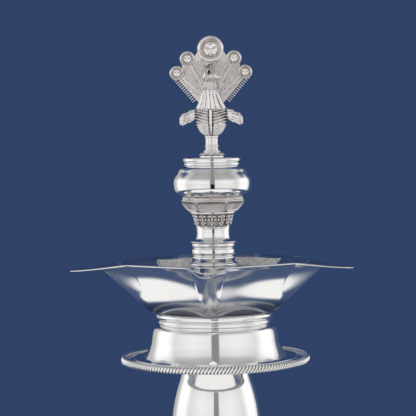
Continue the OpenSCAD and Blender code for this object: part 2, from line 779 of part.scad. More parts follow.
// Head, in the same shares, flat on top where the crest stands
head_x = neck_ring_shares[4][0] * bird_r;
head_y = -neck_ring_shares[4][1] * bird_r;
head_ring_shares = [[0, 0, 0.36, 0.3, 0], [0.02, 0.02, 0.44, 0.42, 0.25],
    [0.03, 0.04, 0.46, 0.46, 0.55], [0.01, 0.02, 0.38, 0.36, 0.82], [-0.02, 0, 0.2, 0.16, 1]];

module peacock_head() {
    lofted([for (s = smooth(head_ring_shares, loft_steps)) level(head_x + s[0] * bird_r,
        head_y - s[1] * bird_r, head_z + s[4] * bird_head_h, s[2] * bird_r, s[3] * bird_r)]);
}

// The beak points to the side and a little forward. It is cut square where it meets the
// head's curved side, which stays clear of it.
beak_turn = -35;
beak_drop = 12;
beak_r = bird_head_h * 0.2;
beak_l = bird_head_h * 0.5;
beak_out = bird_r * 0.51;

module peacock_beak() {
    color("gainsboro") translate([head_x, head_y, head_z + bird_head_h / 2])
        rotate([0, 90 + beak_drop, beak_turn]) translate([0, 0, beak_out])
        cylinder(r1 = beak_r, r2 = beak_r / 4, h = beak_l, $fn = ring_sides);
}

// Crest: a flat comb of three lobes on a foot, standing across the top of the head
crest_lobe_r = bird_head_h * 0.17;
crest_t = crest_lobe_r;
crest_foot_h = crest_lobe_r * 0.8;

module peacock_crest() {
    color("gainsboro") translate([head_x + head_ring_shares[4][0] * bird_r,
        head_y + crest_t / 2, head_z + bird_head_h]) rotate([90, 0, 0])
        linear_extrude(height = crest_t) union() {
            translate([-crest_lobe_r, 0]) square([2 * crest_lobe_r, crest_foot_h]);
            for (k = [-1:1]) translate([k * crest_lobe_r * 1.1,
                crest_foot_h + crest_lobe_r * (0.8 - abs(k) * 0.4)])
                circle(r = crest_lobe_r, $fn = 24);
        }
}

// Wings: out as a share of their reach, forward, half depth and half height as shares of
// the body's half width, up as a share of its height
wing_shares = [[0.5, 0.1, 0.17, 0.36, 0.76], [0.62, 0.11, 0.2, 0.4, 0.71],
    [0.8, 0.12, 0.2, 0.41, 0.62], [0.94, 0.12, 0.17, 0.36, 0.56], [1, 0.12, 0.1, 0.2, 0.53]];

module wing(side_sign) {
    difference() {
        lofted([for (s = smooth(wing_shares, loft_steps)) [[side_sign * s[0] * wing_r,
            -s[1] * bird_r, bird_z + s[4] * bird_h], [0, side_sign * s[2] * bird_r, 0],
            [0, 0, s[3] * bird_r]]]);
        peacock_body();
    }
}

module wing_left() {
    wing(-1);
}

module wing_right() {
    wing(1);
}

// Tail: a flat fan of five feathers that meet at tail_z, each ending in a medallion
feathers = [[-lower_angle, tail_lower, lower_r], [-upper_angle, tail_upper, upper_r],
    [0, tail_top, top_r], [upper_angle, tail_upper, upper_r], [lower_angle, tail_lower, lower_r]];
tail_y_share = 0.52;
tail_y = bird_deep * tail_y_share;
tail_foot_w = bird_r;
boss_share = 0.6;
function feather_at(f, d) = [d * sin(f[0]), d * cos(f[0])];

// Each feather's round end, and a foot that runs down behind the body
foot_side = [[tail_foot_w * 0.6, -tail_foot_w * 0.6], [tail_foot_w, 0]];
fan_outline = concat([for (p = foot_side) [-p[0], p[1]]],
    [for (f = feathers) for (a = [-100:20:100]) feather_at(f, f[1])
        + f[2] * [sin(f[0] + a), cos(f[0] + a)]], backwards(foot_side));

// Stands a flat drawing up behind the bird, its back face at depth y
module upright(y, t) {
    translate([0, y, tail_z]) rotate([90, 0, 0]) linear_extrude(height = t) children();
}

module tail_fan() {
    color("silver") difference() {
        upright(tail_y + tail_t, tail_t) polygon(fan_outline);
        peacock_body();
    }
}

rib_w = tail_t * 0.8;
rib_t = tail_t * 0.4;
rib_start = 0.3;
module tail_ribs() {
    color("gainsboro") upright(tail_y, rib_t) for (f = feathers)
        polygon([for (d = [rib_start * f[1], f[1] - f[2]], s = d < f[1] / 2 ? [-1, 1] : [1, -1])
            feather_at(f, d) + s * rib_w / 2 * [cos(f[0]), -sin(f[0])]]);
}

// A row of round teeth along the two outer edges of the fan. They stand on a narrow strip,
// whose width and theirs come to half a tooth's pitch.
edge_teeth = 12;
tooth_foot_share = 0.15;
tooth_share = 0.5 - tooth_foot_share;

module tail_edges() {
    last = feathers[4];
    low = foot_side[1];
    high = feather_at(last, last[1]) + last[2] * [sin(last[0] + 100), cos(last[0] + 100)];
    along = (high - low) / edge_teeth;
    across = [along[1], -along[0]];
    teeth = [for (i = [1:edge_teeth - 1]) for (a = [0:30:150])
        low + along * (i + 0.5 - cos(a) / 2)
            + across * (tooth_foot_share + tooth_share * sin(a))];
    color("gainsboro") for (s = [-1, 1]) upright(tail_y + tail_t, tail_t)
        polygon([for (p = concat([low + along], teeth, [high])) [s * p[0], p[1]]]);
}

module medallion_rings() {
    color("silver") for (f = feathers) let (p = feather_at(f, f[1]))
        translate([p[0], tail_y, tail_z + p[1]]) rotate([90, 0, 0])
        rotate_extrude($fn = 48) polygon([[f[2] * boss_share + groove, 0], [f[2], 0],
            [f[2], groove], [f[2] - groove, 2 * groove], [f[2] * boss_share + groove, groove]]);
}

module medallion_bosses() {
    color("gainsboro") for (f = feathers) let (p = feather_at(f, f[1]), r = f[2] * boss_share,
        h = r * 0.55)
        translate([p[0], tail_y, tail_z + p[1]]) rotate([90, 0, 0])
        rotate_extrude($fn = 48) polygon(concat([[0, 0]],
            [for (a = [0:15:90]) [r * cos(a), h * sin(a)]]));
}

foot_rest_ring();
foot_plate();
foot_rope();
foot_cushion();
foot_bell();
foot_collar();
foot_bush();
waist_knop();
stem_bead();
stem_plug();
stem_stud();
stem_shell();
stem_top_ring();
drip_plate();
plate_rope();
plate_step();
drum_shell();
drum_bush();
drum_ring();
dish_ring();
dish_stud();
oil_dish();
dish_hub();
hub_bush();
column_flange();
column_stud();
collar();
neck();
leaf_core();
capital_leaves();
capital_disc();
capital_cup();
capital_petals();
capital_buds();
globe_lower();
globe_upper();
globe_mouth();
cap_disc();
cap_bush();
finial_washer();
finial_stud();
perch_leaves();
perch_post();
peacock_body();
peacock_neck();
peacock_head();
peacock_crest();
peacock_beak();
wing_left();
wing_right();
tail_fan();
tail_ribs();
tail_edges();
medallion_rings();
medallion_bosses();
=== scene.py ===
# The looks of a standing oil lamp in polished silver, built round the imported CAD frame.
# Lengths are in metres. Each piece has one dictionary of what a user would change.
from math import atan2, cos, exp, hypot, pi, radians, sin, sqrt

import bmesh
import bpy
from mathutils import Matrix, Vector


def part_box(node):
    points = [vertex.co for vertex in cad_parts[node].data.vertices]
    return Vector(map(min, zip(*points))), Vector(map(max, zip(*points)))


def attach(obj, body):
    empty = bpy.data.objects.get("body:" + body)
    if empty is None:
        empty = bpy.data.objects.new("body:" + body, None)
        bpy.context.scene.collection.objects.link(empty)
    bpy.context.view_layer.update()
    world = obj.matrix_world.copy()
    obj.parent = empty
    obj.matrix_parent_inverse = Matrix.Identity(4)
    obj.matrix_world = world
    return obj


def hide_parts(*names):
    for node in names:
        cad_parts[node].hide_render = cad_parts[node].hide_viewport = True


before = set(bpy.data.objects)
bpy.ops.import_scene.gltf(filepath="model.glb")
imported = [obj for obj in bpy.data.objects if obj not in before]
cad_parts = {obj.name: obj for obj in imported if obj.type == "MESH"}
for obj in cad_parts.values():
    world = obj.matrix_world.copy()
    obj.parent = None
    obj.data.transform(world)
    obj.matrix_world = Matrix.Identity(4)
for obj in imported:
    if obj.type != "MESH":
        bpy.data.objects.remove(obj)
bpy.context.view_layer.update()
scene = bpy.context.scene
mm = 0.001
fullTurn = 2 * pi
turnSteps = 192  # facets of a spun piece
softEdge = 0.00018  # rounding of a spun piece's edges
near = 1e-7  # points closer than this become one
loose = 1e-6  # the same for bent sheets and skins
keptSharp = 25  # edges that stay sharp on shapes kept from the CAD, in degrees


# ---- camera, from the level lines and the scale of the photograph
view = {"height": 0.221, "distance": 0.9, "azimuth": 3.5, "aimHeight": 0.1801,
        "aimLeft": 0.00245, "lens": 155.77, "sensor": 36, "roll": -1.0, "clip": 0.02}


def placeCamera():
    turn = radians(view["azimuth"])
    eye = Vector((view["distance"] * sin(turn), -view["distance"] * cos(turn), view["height"]))
    aim = Vector((0, 0, view["aimHeight"])) - view["aimLeft"] * Vector((cos(turn), sin(turn), 0))
    data = bpy.data.cameras.new("photoCamera")
    data.lens = view["lens"]
    data.sensor_width = view["sensor"]
    data.clip_start = view["clip"]
    eyepiece = bpy.data.objects.new("photoCamera", data)
    look = (aim - eye).to_track_quat("-Z", "Y").to_matrix().to_4x4()
    roll = Matrix.Rotation(radians(view["roll"]), 4, "Z")
    eyepiece.matrix_world = Matrix.Translation(eye) @ look @ roll
    scene.collection.objects.link(eyepiece)
    scene.camera = eyepiece


placeCamera()
scene.view_settings.view_transform = "Standard"
print("camera placed")


# ---- mesh helpers
def whole(bm):
    return bm.verts[:] + bm.edges[:] + bm.faces[:]


def drawLine(bm, corners):
    points = [bm.verts.new(corner) for corner in corners]
    return points + [bm.edges.new(pair) for pair in zip(points, points[1:])]


def sweep(bm, geom, angle, steps, climb=0, copies=False):
    bmesh.ops.spin(bm, geom=geom, cent=(0, 0, 0), axis=(0, 0, 1), dvec=(0, 0, climb),
                   angle=angle, steps=steps, use_merge=False, use_duplicate=copies)


def copyRound(bm, count):
    sweep(bm, whole(bm), fullTurn * (1 - 1 / count), count - 1, copies=True)


def cutAway(bm, place, outward):
    return bmesh.ops.bisect_plane(bm, geom=whole(bm), dist=near, plane_co=place,
                                  plane_no=outward, clear_outer=True, clear_inner=False)


def joinTo(bm, other):
    mesh = bpy.data.meshes.new("joined")
    other.to_mesh(mesh)
    other.free()
    bm.from_mesh(mesh)
    bpy.data.meshes.remove(mesh)


def addObject(name, bm, material):
    mesh = bpy.data.meshes.new(name)
    bm.to_mesh(mesh)
    bm.free()
    mesh.materials.append(material)
    mesh.shade_smooth()
    made = bpy.data.objects.new(name, mesh)
    scene.collection.objects.link(made)
    return made


# ---- shader maths
class Amount:
    # a number that varies over a surface: sums written on it add Math nodes
    def __init__(self, finish, socket):
        self.finish, self.socket = finish, socket

    def __add__(self, other):
        return self.finish.maths("ADD", self, other)

    def __mul__(self, other):
        return self.finish.maths("MULTIPLY", self, other)

    def __sub__(self, other):
        return self.finish.maths("SUBTRACT", self, other)

    def __rsub__(self, other):
        return self.finish.maths("SUBTRACT", other, self)

    def __pow__(self, other):
        return self.finish.maths("POWER", self, other)

    __radd__ = __add__
    __rmul__ = __mul__


class Finish:
    # a node material or world; node() makes every node in it
    def __init__(self, owner):
        self.owner = owner
        owner.use_nodes = True
        self.tree = owner.node_tree
        self.tree.nodes.clear()

    def node(self, kind, inputs=None, **settings):
        made = self.tree.nodes.new("ShaderNode" + kind)
        for key, value in settings.items():
            setattr(made, key, value)
        for key, value in (inputs or {}).items():
            if isinstance(value, Amount):
                value = value.socket
            if isinstance(value, bpy.types.NodeSocket):
                self.tree.links.new(value, made.inputs[key])
            else:
                made.inputs[key].default_value = value
        return made

    def amount(self, kind, inputs, **settings):
        return Amount(self, self.node(kind, inputs, **settings).outputs[0])

    def maths(self, operation, *values, clamp=False):
        return self.amount("Math", dict(enumerate(values)), operation=operation, use_clamp=clamp)

    def clamped(self, value):
        return self.maths("ADD", value, 0, clamp=True)

    def place(self):
        return self.node("TexCoord").outputs["Object"]

    def axes(self):
        parts = self.node("SeparateXYZ", {0: self.place()}).outputs
        return [Amount(self, part) for part in parts]

    def speckle(self, vector, scale, detail=2, rough=0.5):
        return self.amount("TexNoise", {"Vector": vector, "Scale": scale, "Detail": detail,
                                        "Roughness": rough})

    def between(self, value, low, high):
        return self.amount("MapRange", {"Value": value, "From Min": low, "From Max": high},
                           interpolation_type="SMOOTHSTEP")

    def ramp(self, value, low, high, stops):
        made = self.node("ValToRGB", {0: (value - low) * (1 / (high - low))})
        stops = [((place - low) / (high - low), grey) for place, grey in stops]
        band = made.color_ramp
        band.elements[0].position, band.elements[1].position = stops[0][0], stops[-1][0]
        for place, _ in stops[1:-1]:
            band.elements.new(place)
        for element, (_, grey) in zip(band.elements, stops):
            element.color = (grey, grey, grey, 1)
        return Amount(self, made.outputs[0])

    def colours(self, share, first, second):
        first, second = ((*c, 1) if isinstance(c, tuple) else c for c in (first, second))
        return self.node("Mix", {"Factor": share, 6: first, 7: second},
                         data_type="RGBA").outputs[2]

    def bumped(self, height, depth, under=None):
        inputs = {"Height": height, "Distance": depth}
        if under:
            inputs["Normal"] = under
        return self.node("Bump", inputs).outputs[0]

    def mixed(self, share, first, second):
        return self.node("MixShader", {0: share, 1: first.outputs[0], 2: second.outputs[0]})

    def shown(self, shader, kind="OutputMaterial"):
        self.node(kind, {"Surface": shader.outputs[0]})
        return self.owner

    def metal(self, colour, roughness, normal, metallic=1.0):
        return self.shown(self.node("BsdfPrincipled", {
            "Base Color": colour, "Metallic": metallic, "Roughness": roughness,
            "Normal": normal}))


def newFinish(name):
    return Finish(bpy.data.materials.new(name))


# ---- floor, backdrop colour and lamps
studio = {"backdrop": (0.030, 0.055, 0.135), "floorColour": (0.78, 0.78, 0.77),
          "floorMirrored": (0.058, 0.092, 0.18), "floorRadius": 0.45, "floorSteps": 128,
          "fill": 0.42}
# a curved white screen round the front and sides, lit unevenly: its outline by radius and
# height, its brightness by the angle from the camera's side in degrees, and by height. The
# slot is a grey strip in front, dark below slotEdge. blue is where the backdrop's colour
# shows: low down, past an angle on the right, and far back above a height.
screen = {"outline": [(0.8, -0.9), (0.8, 0.6), (0.72, 0.82), (0.5, 0.98), (0, 1.05)],
          "heights": (-0.9, 1.05), "spread": 152, "steps": 76, "strength": 1.12,
          "byAngle": [(0, 0), (5.6, 0), (7.4, 0.74), (40, 0.82), (76, 0.68), (92, 0.97),
                      (118, 0.97), (132, 0.5), (152, 0.4)],
          "byHeight": [(-0.9, 0), (-0.2, 0.02), (-0.13, 0.3), (-0.05, 0.92), (0.3, 1), (0.5, 0.86),
                       (0.75, 0.54), (1.05, 0.4)],
          "slotWidth": 6.6, "slotGrey": 0.22, "slotEdge": (0.095, 0.125),
          "dark": (0.012, 0.013, 0.016),
          "blueLow": (-0.2, -0.08), "blueRight": (129, 136), "blueBack": (96, 116),
          "blueTop": (0.5, 0.72)}
overhead = {"height": 0.95, "size": 1.2, "watts": 2.4192}
# soft white cards on the floor, seen only in reflections: middle and half sizes; the first
# one lies on both sides
floorCards = {"sides": (0.226, 0.0, 0.078, 0.105), "front": (0.0, -0.26, 0.42, 0.21),
              "edge": (0.82, 1.08), "light": (0.93, 0.93, 0.93 * 0.985)}


def hangLamp():
    data = bpy.data.lights.new("overhead", "AREA")
    data.shape = "SQUARE"
    data.size = overhead["size"]
    data.energy = overhead["watts"]
    lamp = bpy.data.objects.new("overhead", data)
    lamp.matrix_world = Matrix.Translation((0, 0, overhead["height"]))
    lamp.visible_camera = lamp.visible_glossy = False
    scene.collection.objects.link(lamp)


def paintFloor():
    finish = newFinish("paleFloor")
    rays = finish.node("LightPath").outputs
    x, y, _ = finish.axes()
    white = 0
    for card, across in (("sides", finish.maths("ABSOLUTE", x)), ("front", x)):
        middleX, middleY, halfX, halfY = floorCards[card]
        dx, dy = (across - middleX) * (1 / halfX), (y - middleY) * (1 / halfY)
        white = white + (1 - finish.between((dx * dx + dy * dy) ** 0.5, *floorCards["edge"]))
    colour = finish.colours(finish.clamped(white), studio["floorMirrored"], floorCards["light"])
    paper = finish.node("BsdfDiffuse", {"Color": (*studio["floorColour"], 1)})
    mirrored = finish.node("Emission", {"Color": colour})
    return finish.shown(finish.mixed(rays["Is Glossy Ray"], paper, mirrored))


def paintScreen():
    finish = newFinish("litScreen")
    x, y, z = finish.axes()
    angle = finish.maths("ARCTAN2", x, 0 - y) * (180 / pi) - view["azimuth"]
    side = finish.maths("ABSOLUTE", angle)
    light = (finish.ramp(side, 0, 180, screen["byAngle"])
             * finish.ramp(z, *screen["heights"], screen["byHeight"]))
    grey = screen["slotGrey"] * finish.between(z, *screen["slotEdge"])
    slot = 1 - finish.between(side, screen["slotWidth"] - 1, screen["slotWidth"])
    blue = finish.clamped(
        1 - finish.between(z, *screen["blueLow"]) + finish.between(angle, *screen["blueRight"])
        + finish.between(side, *screen["blueBack"]) * finish.between(z, *screen["blueTop"]))
    dark = finish.colours(blue, screen["dark"], studio["floorMirrored"])
    colour = finish.colours(finish.clamped(light * (1 - blue) + slot * grey), dark, (1, 1, 1))
    return finish.shown(finish.node("Emission", {"Color": colour, "Strength": screen["strength"]}))


def addStage(name, bm, material):
    stagePiece = addObject(name, bm, material)
    return stagePiece


def setStage():
    bm = bmesh.new()
    bmesh.ops.create_circle(bm, cap_ends=True, radius=studio["floorRadius"],
                            segments=studio["floorSteps"])
    addStage("floor", bm, paintFloor())
    bm = bmesh.new()
    spread = radians(screen["spread"])
    start = -pi / 2 + radians(view["azimuth"]) - spread
    side = drawLine(bm, [(r * cos(start), r * sin(start), z) for r, z in screen["outline"]])
    sweep(bm, side, 2 * spread, screen["steps"])
    wall = addStage("litScreen", bm, paintScreen())
    wall.visible_camera = wall.visible_shadow = False
    hangLamp()
    paintWorld()


def paintWorld():
    # a soft fill light; the camera and the mirrors see the backdrop's colour instead
    finish = Finish(bpy.data.worlds.new("studio"))
    rays = finish.node("LightPath").outputs
    seen = finish.maths("MAXIMUM", rays["Is Camera Ray"], rays["Is Glossy Ray"])
    seen = finish.maths("MAXIMUM", seen, rays["Is Transmission Ray"])
    fill = finish.node("Background", {"Color": (studio["fill"],) * 3 + (1,)})
    back = finish.node("Background", {"Color": (*studio["backdrop"], 1)})
    scene.world = finish.shown(finish.mixed(seen, fill, back), "OutputWorld")


setStage()
print("stage set")


# ---- finishes
silver = {"bright": (0.955, 0.95, 0.94), "dull": (0.84, 0.81, 0.76),
          "warm": (0.97, 0.935, 0.915), "tarnish": (0.2, 0.105, 0.05),
          "shadow": (0.07, 0.068, 0.07), "oiled": (0.3, 0.275, 0.26),
          # the next colour is painted shade and reflection: dark blue grey laid on the dish's
          # outer sheet below the two heights after it
          "seam": (0.15, 0.165, 0.205), "paintedFootShadeHeights": (0.1315, 0.1365),
          "roughness": 0.035, "lineScales": (18, 1500), "lineDepth": 0.0000045,
          "waveDepth": 0.00002, "pitDepth": 0.000012, "reach": 0.0026, "waveScale": 75,
          "cloudScale": 38, "scratchScale": 620, "patchScale": 420, "pitScale": 1300}


def paintPolished(name, worn=1.0, soil=0.0, seam=None):
    # mirror polish: fine turning lines, a slow wave from hand work, and faint dull clouds
    finish = newFinish(name)
    place = finish.place()
    x, y, z = finish.axes()
    across, along = silver["lineScales"]
    outward = (x * x + y * y) ** 0.5
    turned = finish.node("CombineXYZ", {0: x * across, 1: y * across,
                                        2: (z + outward * 0.8) * along}).outputs[0]
    lines = finish.speckle(turned, 1, detail=3)
    wave = finish.speckle(place, silver["waveScale"], detail=1)
    clouds = finish.speckle(place, silver["cloudScale"], detail=4, rough=0.6)
    clouds = finish.between(clouds, 0.52, 0.78)
    colour = finish.colours(clouds * 0.3, silver["bright"], silver["dull"])
    roughness = silver["roughness"] * worn + clouds * 0.07 + lines * 0.035 * worn
    # painted shade and reflection: below the given heights the sheet turns most of the way to dark
    # blue grey
    if seam:
        colour = finish.colours((1 - finish.between(z, *seam)) * 0.8, colour, silver["seam"])
    if soil:
        scratched = finish.speckle(place, silver["scratchScale"], detail=2)
        scratched = finish.between(scratched, 0.36, 0.62)
        colour = finish.colours(soil * (1 - scratched * 0.55), colour, silver["oiled"])
        roughness = roughness + soil * 0.12
    normal = finish.bumped(wave, silver["waveDepth"])
    normal = finish.bumped(lines, silver["lineDepth"] * worn, under=normal)
    return finish.metal(colour, roughness, normal)


def paintCast(name, stain=0.0, hollows=1.0, hollow="tarnish", roughness=0.1, metallic=0.84,
              closing=(0.26, 0.6)):
    # cast silver: softer skin with fine pits, and tarnish in the hollows, by
    # how closed in they are; with hollow set to shadow the hollows get painted shadow instead
    finish = newFinish(name)
    place = finish.place()
    sky = finish.node("AmbientOcclusion", {"Distance": silver["reach"]}, samples=8)
    closed = 1 - Amount(finish, sky.outputs["AO"])
    patch = finish.speckle(place, silver["patchScale"], detail=3)
    patch = finish.between(patch, 0.4, 0.6)
    # tarnish is the hollows' share of their colour; in the bird's finish that colour is painted
    # shadow
    tarnish = finish.clamped(finish.between(closed, *closing) * (0.5 + patch * 0.5) * hollows
                             + patch * stain)
    skin = finish.speckle(place, silver["pitScale"], detail=3, rough=0.6)
    clouds = finish.between(finish.speckle(place, 160, detail=3), 0.45, 0.7)
    metalColour = finish.colours(clouds * 0.35, silver["warm"], silver["dull"])
    colour = finish.colours(tarnish, metalColour, silver[hollow])
    rough = roughness + clouds * 0.06 + tarnish * 0.3
    return finish.metal(colour, rough, finish.bumped(skin, silver["pitDepth"]), metallic)


def paintBrass():
    finish = newFinish("screwBrass")
    place = finish.place()
    clouds = finish.speckle(place, 260, detail=4, rough=0.65)
    grain = finish.speckle(place, 2400, detail=2)
    colour = finish.colours(clouds, (0.82, 0.63, 0.33), (0.58, 0.42, 0.2))
    return finish.metal(colour, 0.2 + clouds * 0.2, finish.bumped(grain, 0.00001))


polished = paintPolished("polishedSilver")
# the dish's outer sheet, with painted shade low down at its foot
beaten = paintPolished("beatenSilver", 2.4, seam=silver["paintedFootShadeHeights"])
oiled = paintPolished("oiledSilver", 2.4, soil=0.4)
cast = paintCast("castSilver", roughness=0.2, metallic=0.72)
stained = paintCast("stainedSilver", stain=1.0)
head = paintCast("headSilver", stain=0.4)
clean = paintCast("eyeSilver", hollows=0.35, roughness=0.12)
matte = paintCast("cupSilver", hollows=0.5, roughness=0.2, metallic=0.35)
# the bird's hollows get painted shadow, near black, in place of tarnish
chased = paintCast("birdSilver", roughness=0.05, metallic=0.94, hollow="shadow",
                   closing=(0.16, 0.52))
leafy = paintCast("leafSilver", hollows=0.75, roughness=0.16, metallic=0.5)
brass = paintBrass()
slotOf = {finish: "polished_silver" for finish in (polished, beaten, oiled)}
slotOf.update({finish: "cast_silver" for finish in
               (cast, stained, head, clean, matte, chased, leafy)})
slotOf[brass] = "screw_brass"
print("finishes mixed")


# ---- outlines of spun pieces: lists of (radius, height)
def span(node):
    low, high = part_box(node)
    return high.x, low.z, high.z


def smooth(points, steps=8):
    last = len(points) - 1
    line = []
    for i in range(last):
        a, b, c, d = (points[k] for k in (max(i - 1, 0), i, i + 1, min(i + 2, last)))
        for t in (j / steps for j in range(steps)):
            line.append(tuple(0.5 * (2 * q + (r - p) * t + (2 * p - 5 * q + 4 * r - s) * t * t
                              + (3 * q - p - 3 * r + s) * t ** 3)
                              for p, q, r, s in zip(a, b, c, d)))
    return line + [points[-1]]


def scaled(table, radius, low, high):
    return [(share * radius, low + up * (high - low)) for share, up in table]


def profile(node, table, under=None, over=None, steps=8):
    # a smooth line by shares of the node's radius and height, with its end radii in metres
    radius, low, high = span(node)
    line = scaled(table, radius, low, high)
    if under:
        line.insert(0, (under, low))
    if over:
        line.append((over, high))
    return smooth(line, steps)


def inward(line, wall):
    low, high = line[0][1], line[-1][1]
    moved = [(line[0][0] - wall, low)]
    for before, here, after in zip(line, line[1:], line[2:]):
        dr, dz = after[0] - before[0], after[1] - before[1]
        length = hypot(dr, dz)
        height = here[1] + wall * dr / length
        moved.append((here[0] - wall * dz / length, min(max(height, low), high)))
    return moved + [(line[-1][0] - wall, high)]


def shell(line, wall):
    return line + inward(line, wall)[::-1]


def bead(radius, inner, low, high, bulge, steps=16):
    middle, half = (low + high) / 2, (high - low) / 2
    side = [(radius - bulge + bulge * sin(pi * i / steps), middle - half * cos(pi * i / steps))
            for i in range(steps + 1)]
    return [(inner, low)] + side + [(inner, high)]


def block(radius, inner, low, high):
    return [(inner, low), (radius, low), (radius, high), (inner, high)]


def softened(outline, size, steps=3):
    # rounds the corners that turn by more than 30 degrees; size is the rounding's length
    made = []
    for before, here, after in zip(outline[-1:] + outline, outline, outline[1:] + outline[:1]):
        here = Vector(here)
        back, on = Vector(before) - here, Vector(after) - here
        if here.x < loose or min(back.length, on.length) < loose or back.angle(-on) < pi / 6:
            made.append(tuple(here))
            continue
        a, b = (here + way.normalized() * min(size, way.length * 0.45) for way in (back, on))
        curve = [a * (1 - t) ** 2 + here * 2 * t * (1 - t) + b * t * t
                 for t in (j / steps for j in range(steps + 1))]
        if back.length > 5 * size:  # a point more keeps the straight part straight
            curve.insert(0, here + back.normalized() * size * 2)
        if on.length > 5 * size:
            curve.append(here + on.normalized() * size * 2)
        made += [tuple(point) for point in curve]
    return made


def spin(outline, steps=turnSteps):
    # one part of the turn, then copies of it, which is quicker than one long spin
    parts = next(p for p in (16, 12, 8, 6, 4, 2, 1) if steps % p == 0)
    bm = bmesh.new()
    line = drawLine(bm, [(r, 0, z) for r, z in outline])
    if outline[0][0] > loose:  # round a hole, so the outline is closed
        line.append(bm.edges.new((line[len(outline) - 1], line[0])))
    sweep(bm, line, fullTurn / parts, steps // parts)
    if parts > 1:
        copyRound(bm, parts)
    bmesh.ops.remove_doubles(bm, verts=bm.verts, dist=near)
    bmesh.ops.recalc_face_normals(bm, faces=bm.faces)
    return bm


def wrap(columns, rows, shape):
    # a closed skin: a grid bent by shape(turn, share), joined at its seam and capped
    bm = bmesh.new()
    bmesh.ops.create_grid(bm, x_segments=columns, y_segments=rows, size=1)
    for v in bm.verts:
        v.co = shape((v.co.x + 1) * pi, (v.co.y + 1) / 2)
    bmesh.ops.remove_doubles(bm, verts=bm.verts, dist=loose)
    bmesh.ops.holes_fill(bm, edges=bm.edges, sides=0)
    bmesh.ops.recalc_face_normals(bm, faces=bm.faces)
    return bm


def leafRing(lobes, base, count, turn=0):
    # egg-shaped lobes over a base height, tilted forward, all of them copied round the axis
    bm = bmesh.new()
    for across, out, up, size, tilt in lobes:
        place = Matrix.Translation(Vector((across, -out, base + up)) * mm)
        shape = Matrix.Rotation(radians(tilt), 4, "X") @ Matrix.Diagonal((*(Vector(size) * mm), 1))
        bmesh.ops.create_icosphere(bm, subdivisions=2, radius=1, matrix=place @ shape)
    bm.transform(Matrix.Rotation(turn, 4, "Z"))
    copyRound(bm, count)
    return bm


def fromNode(node, size):
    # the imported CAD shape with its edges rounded
    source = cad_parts[node]
    bm = bmesh.new()
    bm.from_mesh(source.data)
    bm.transform(source.matrix_world)
    bmesh.ops.dissolve_limit(bm, angle_limit=radians(2), verts=bm.verts, edges=bm.edges)
    edges = [e for e in bm.edges if e.is_manifold and e.calc_face_angle(0) > radians(30)]
    bmesh.ops.bevel(bm, geom=edges, offset=size, offset_type="OFFSET", segments=2, profile=0.5,
                    affect="EDGES", clamp_overlap=True, material=-1)
    return bm


def camel(node):
    first, *others = node.split("_")
    return first + "".join(word.title() for word in others)


def addPiece(node, body, bm, finish, sharp=38, name=None):
    # edges that turn by more than sharp, in degrees, stay sharp
    piece = addObject(name or camel(node), bm, finish)
    piece.data.set_sharp_from_angle(angle=radians(sharp))
    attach(piece, body)
    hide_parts(node)
    return piece


def addSpun(node, body, outline, finish=polished, size=softEdge, name=None):
    return addPiece(node, body, spin(softened(outline, size)), finish, name=name)


def addKept(node, body, size, finish):
    addPiece(node, body, fromNode(node, size), finish, keptSharp)


def addBead(node, body, hole, flat=2, steps=16, size=softEdge):
    # a ring with a rounded side, which is flatter the higher flat is
    radius, low, high = span(node)
    outline = bead(radius, hole, low, high, (high - low) / flat, steps)
    return addSpun(node, body, outline, size=size)


# ---- rope borders: for each one the number of strands and the body that carries it
ropes = {"plate_rope": (168, "stem"), "foot_rope": (208, "foot")}
# the valley colour is painted shade between the strands
ropeMake = {"width": 0.0034, "section": 16, "stepsPerStrand": 8, "twists": 3, "depth": 0.42,
            "fullness": 0.6, "valleyShade": (0.1, 0.095, 0.095), "valleyEdge": (0.25, 0.66),
            "sharp": 80}


def paintRope(strands, middle, level, half, rise):
    # bright strands, with painted shade in the valleys between them, which are also rougher
    finish = newFinish("ropeSilver")
    x, y, z = finish.axes()
    across = (x * x + y * y) ** 0.5 - middle
    lay = finish.maths("ARCTAN2", y, x) * strands - ropeMake["twists"] * finish.maths(
        "ARCTAN2", (z - level) * (1 / rise), across * (1 / half))
    crest = finish.maths("ABSOLUTE", finish.maths("COSINE", lay * 0.5))
    valleyShade = 1 - finish.between(crest, *ropeMake["valleyEdge"])
    # painted shade: near black in the valleys between the strands
    colour = finish.colours(valleyShade, silver["bright"], ropeMake["valleyShade"])
    grain = finish.speckle(finish.place(), silver["pitScale"], detail=3, rough=0.6)
    return finish.metal(colour, 0.1 + valleyShade * 0.3, finish.bumped(grain, 0.00001))


def layRope(node):
    strands, body = ropes[node]
    outer, low, high = span(node)
    half, rise = ropeMake["width"] / 2, (high - low) / 2
    middle, level = outer - half, (low + high) / 2
    turns = [fullTurn * i / ropeMake["section"] for i in range(ropeMake["section"])]
    loop = [(middle + half * cos(turn), level + rise * sin(turn)) for turn in turns]
    bm = spin(loop, strands * ropeMake["stepsPerStrand"])
    for v in bm.verts:
        turn = atan2(v.co.y, v.co.x)
        across, up = hypot(v.co.x, v.co.y) - middle, v.co.z - level
        lay = strands * turn - ropeMake["twists"] * atan2(up / rise, across / half)
        share = 1 - ropeMake["depth"] * (1 - abs(cos(lay / 2)) ** ropeMake["fullness"])
        radius = middle + across * share
        v.co = (radius * cos(turn), radius * sin(turn), level + up * share)
    finish = paintRope(strands, middle, level, half, rise)
    slotOf[finish] = "cast_silver"
    addPiece(node, body, bm, finish, ropeMake["sharp"], "twistedRope" + body.title())


# ---- screw threads: for each stud the body that carries it, thread pitch and threaded length
studs = {"stem_stud": ("stem", 0.00125, 0.0116), "dish_stud": ("dish", 0.00125, 0.0116),
         "column_stud": ("column", 0.001, 0.0107), "finial_stud": ("peacock", 0.0007, 0.0068)}
threadMake = {"steps": 40, "depthShare": 0.5, "spareTurns": 3, "rootRoom": 0.0002,
              "flankShares": (0, 0.42, 0.54, 0.96, 1), "rodSteps": 96}


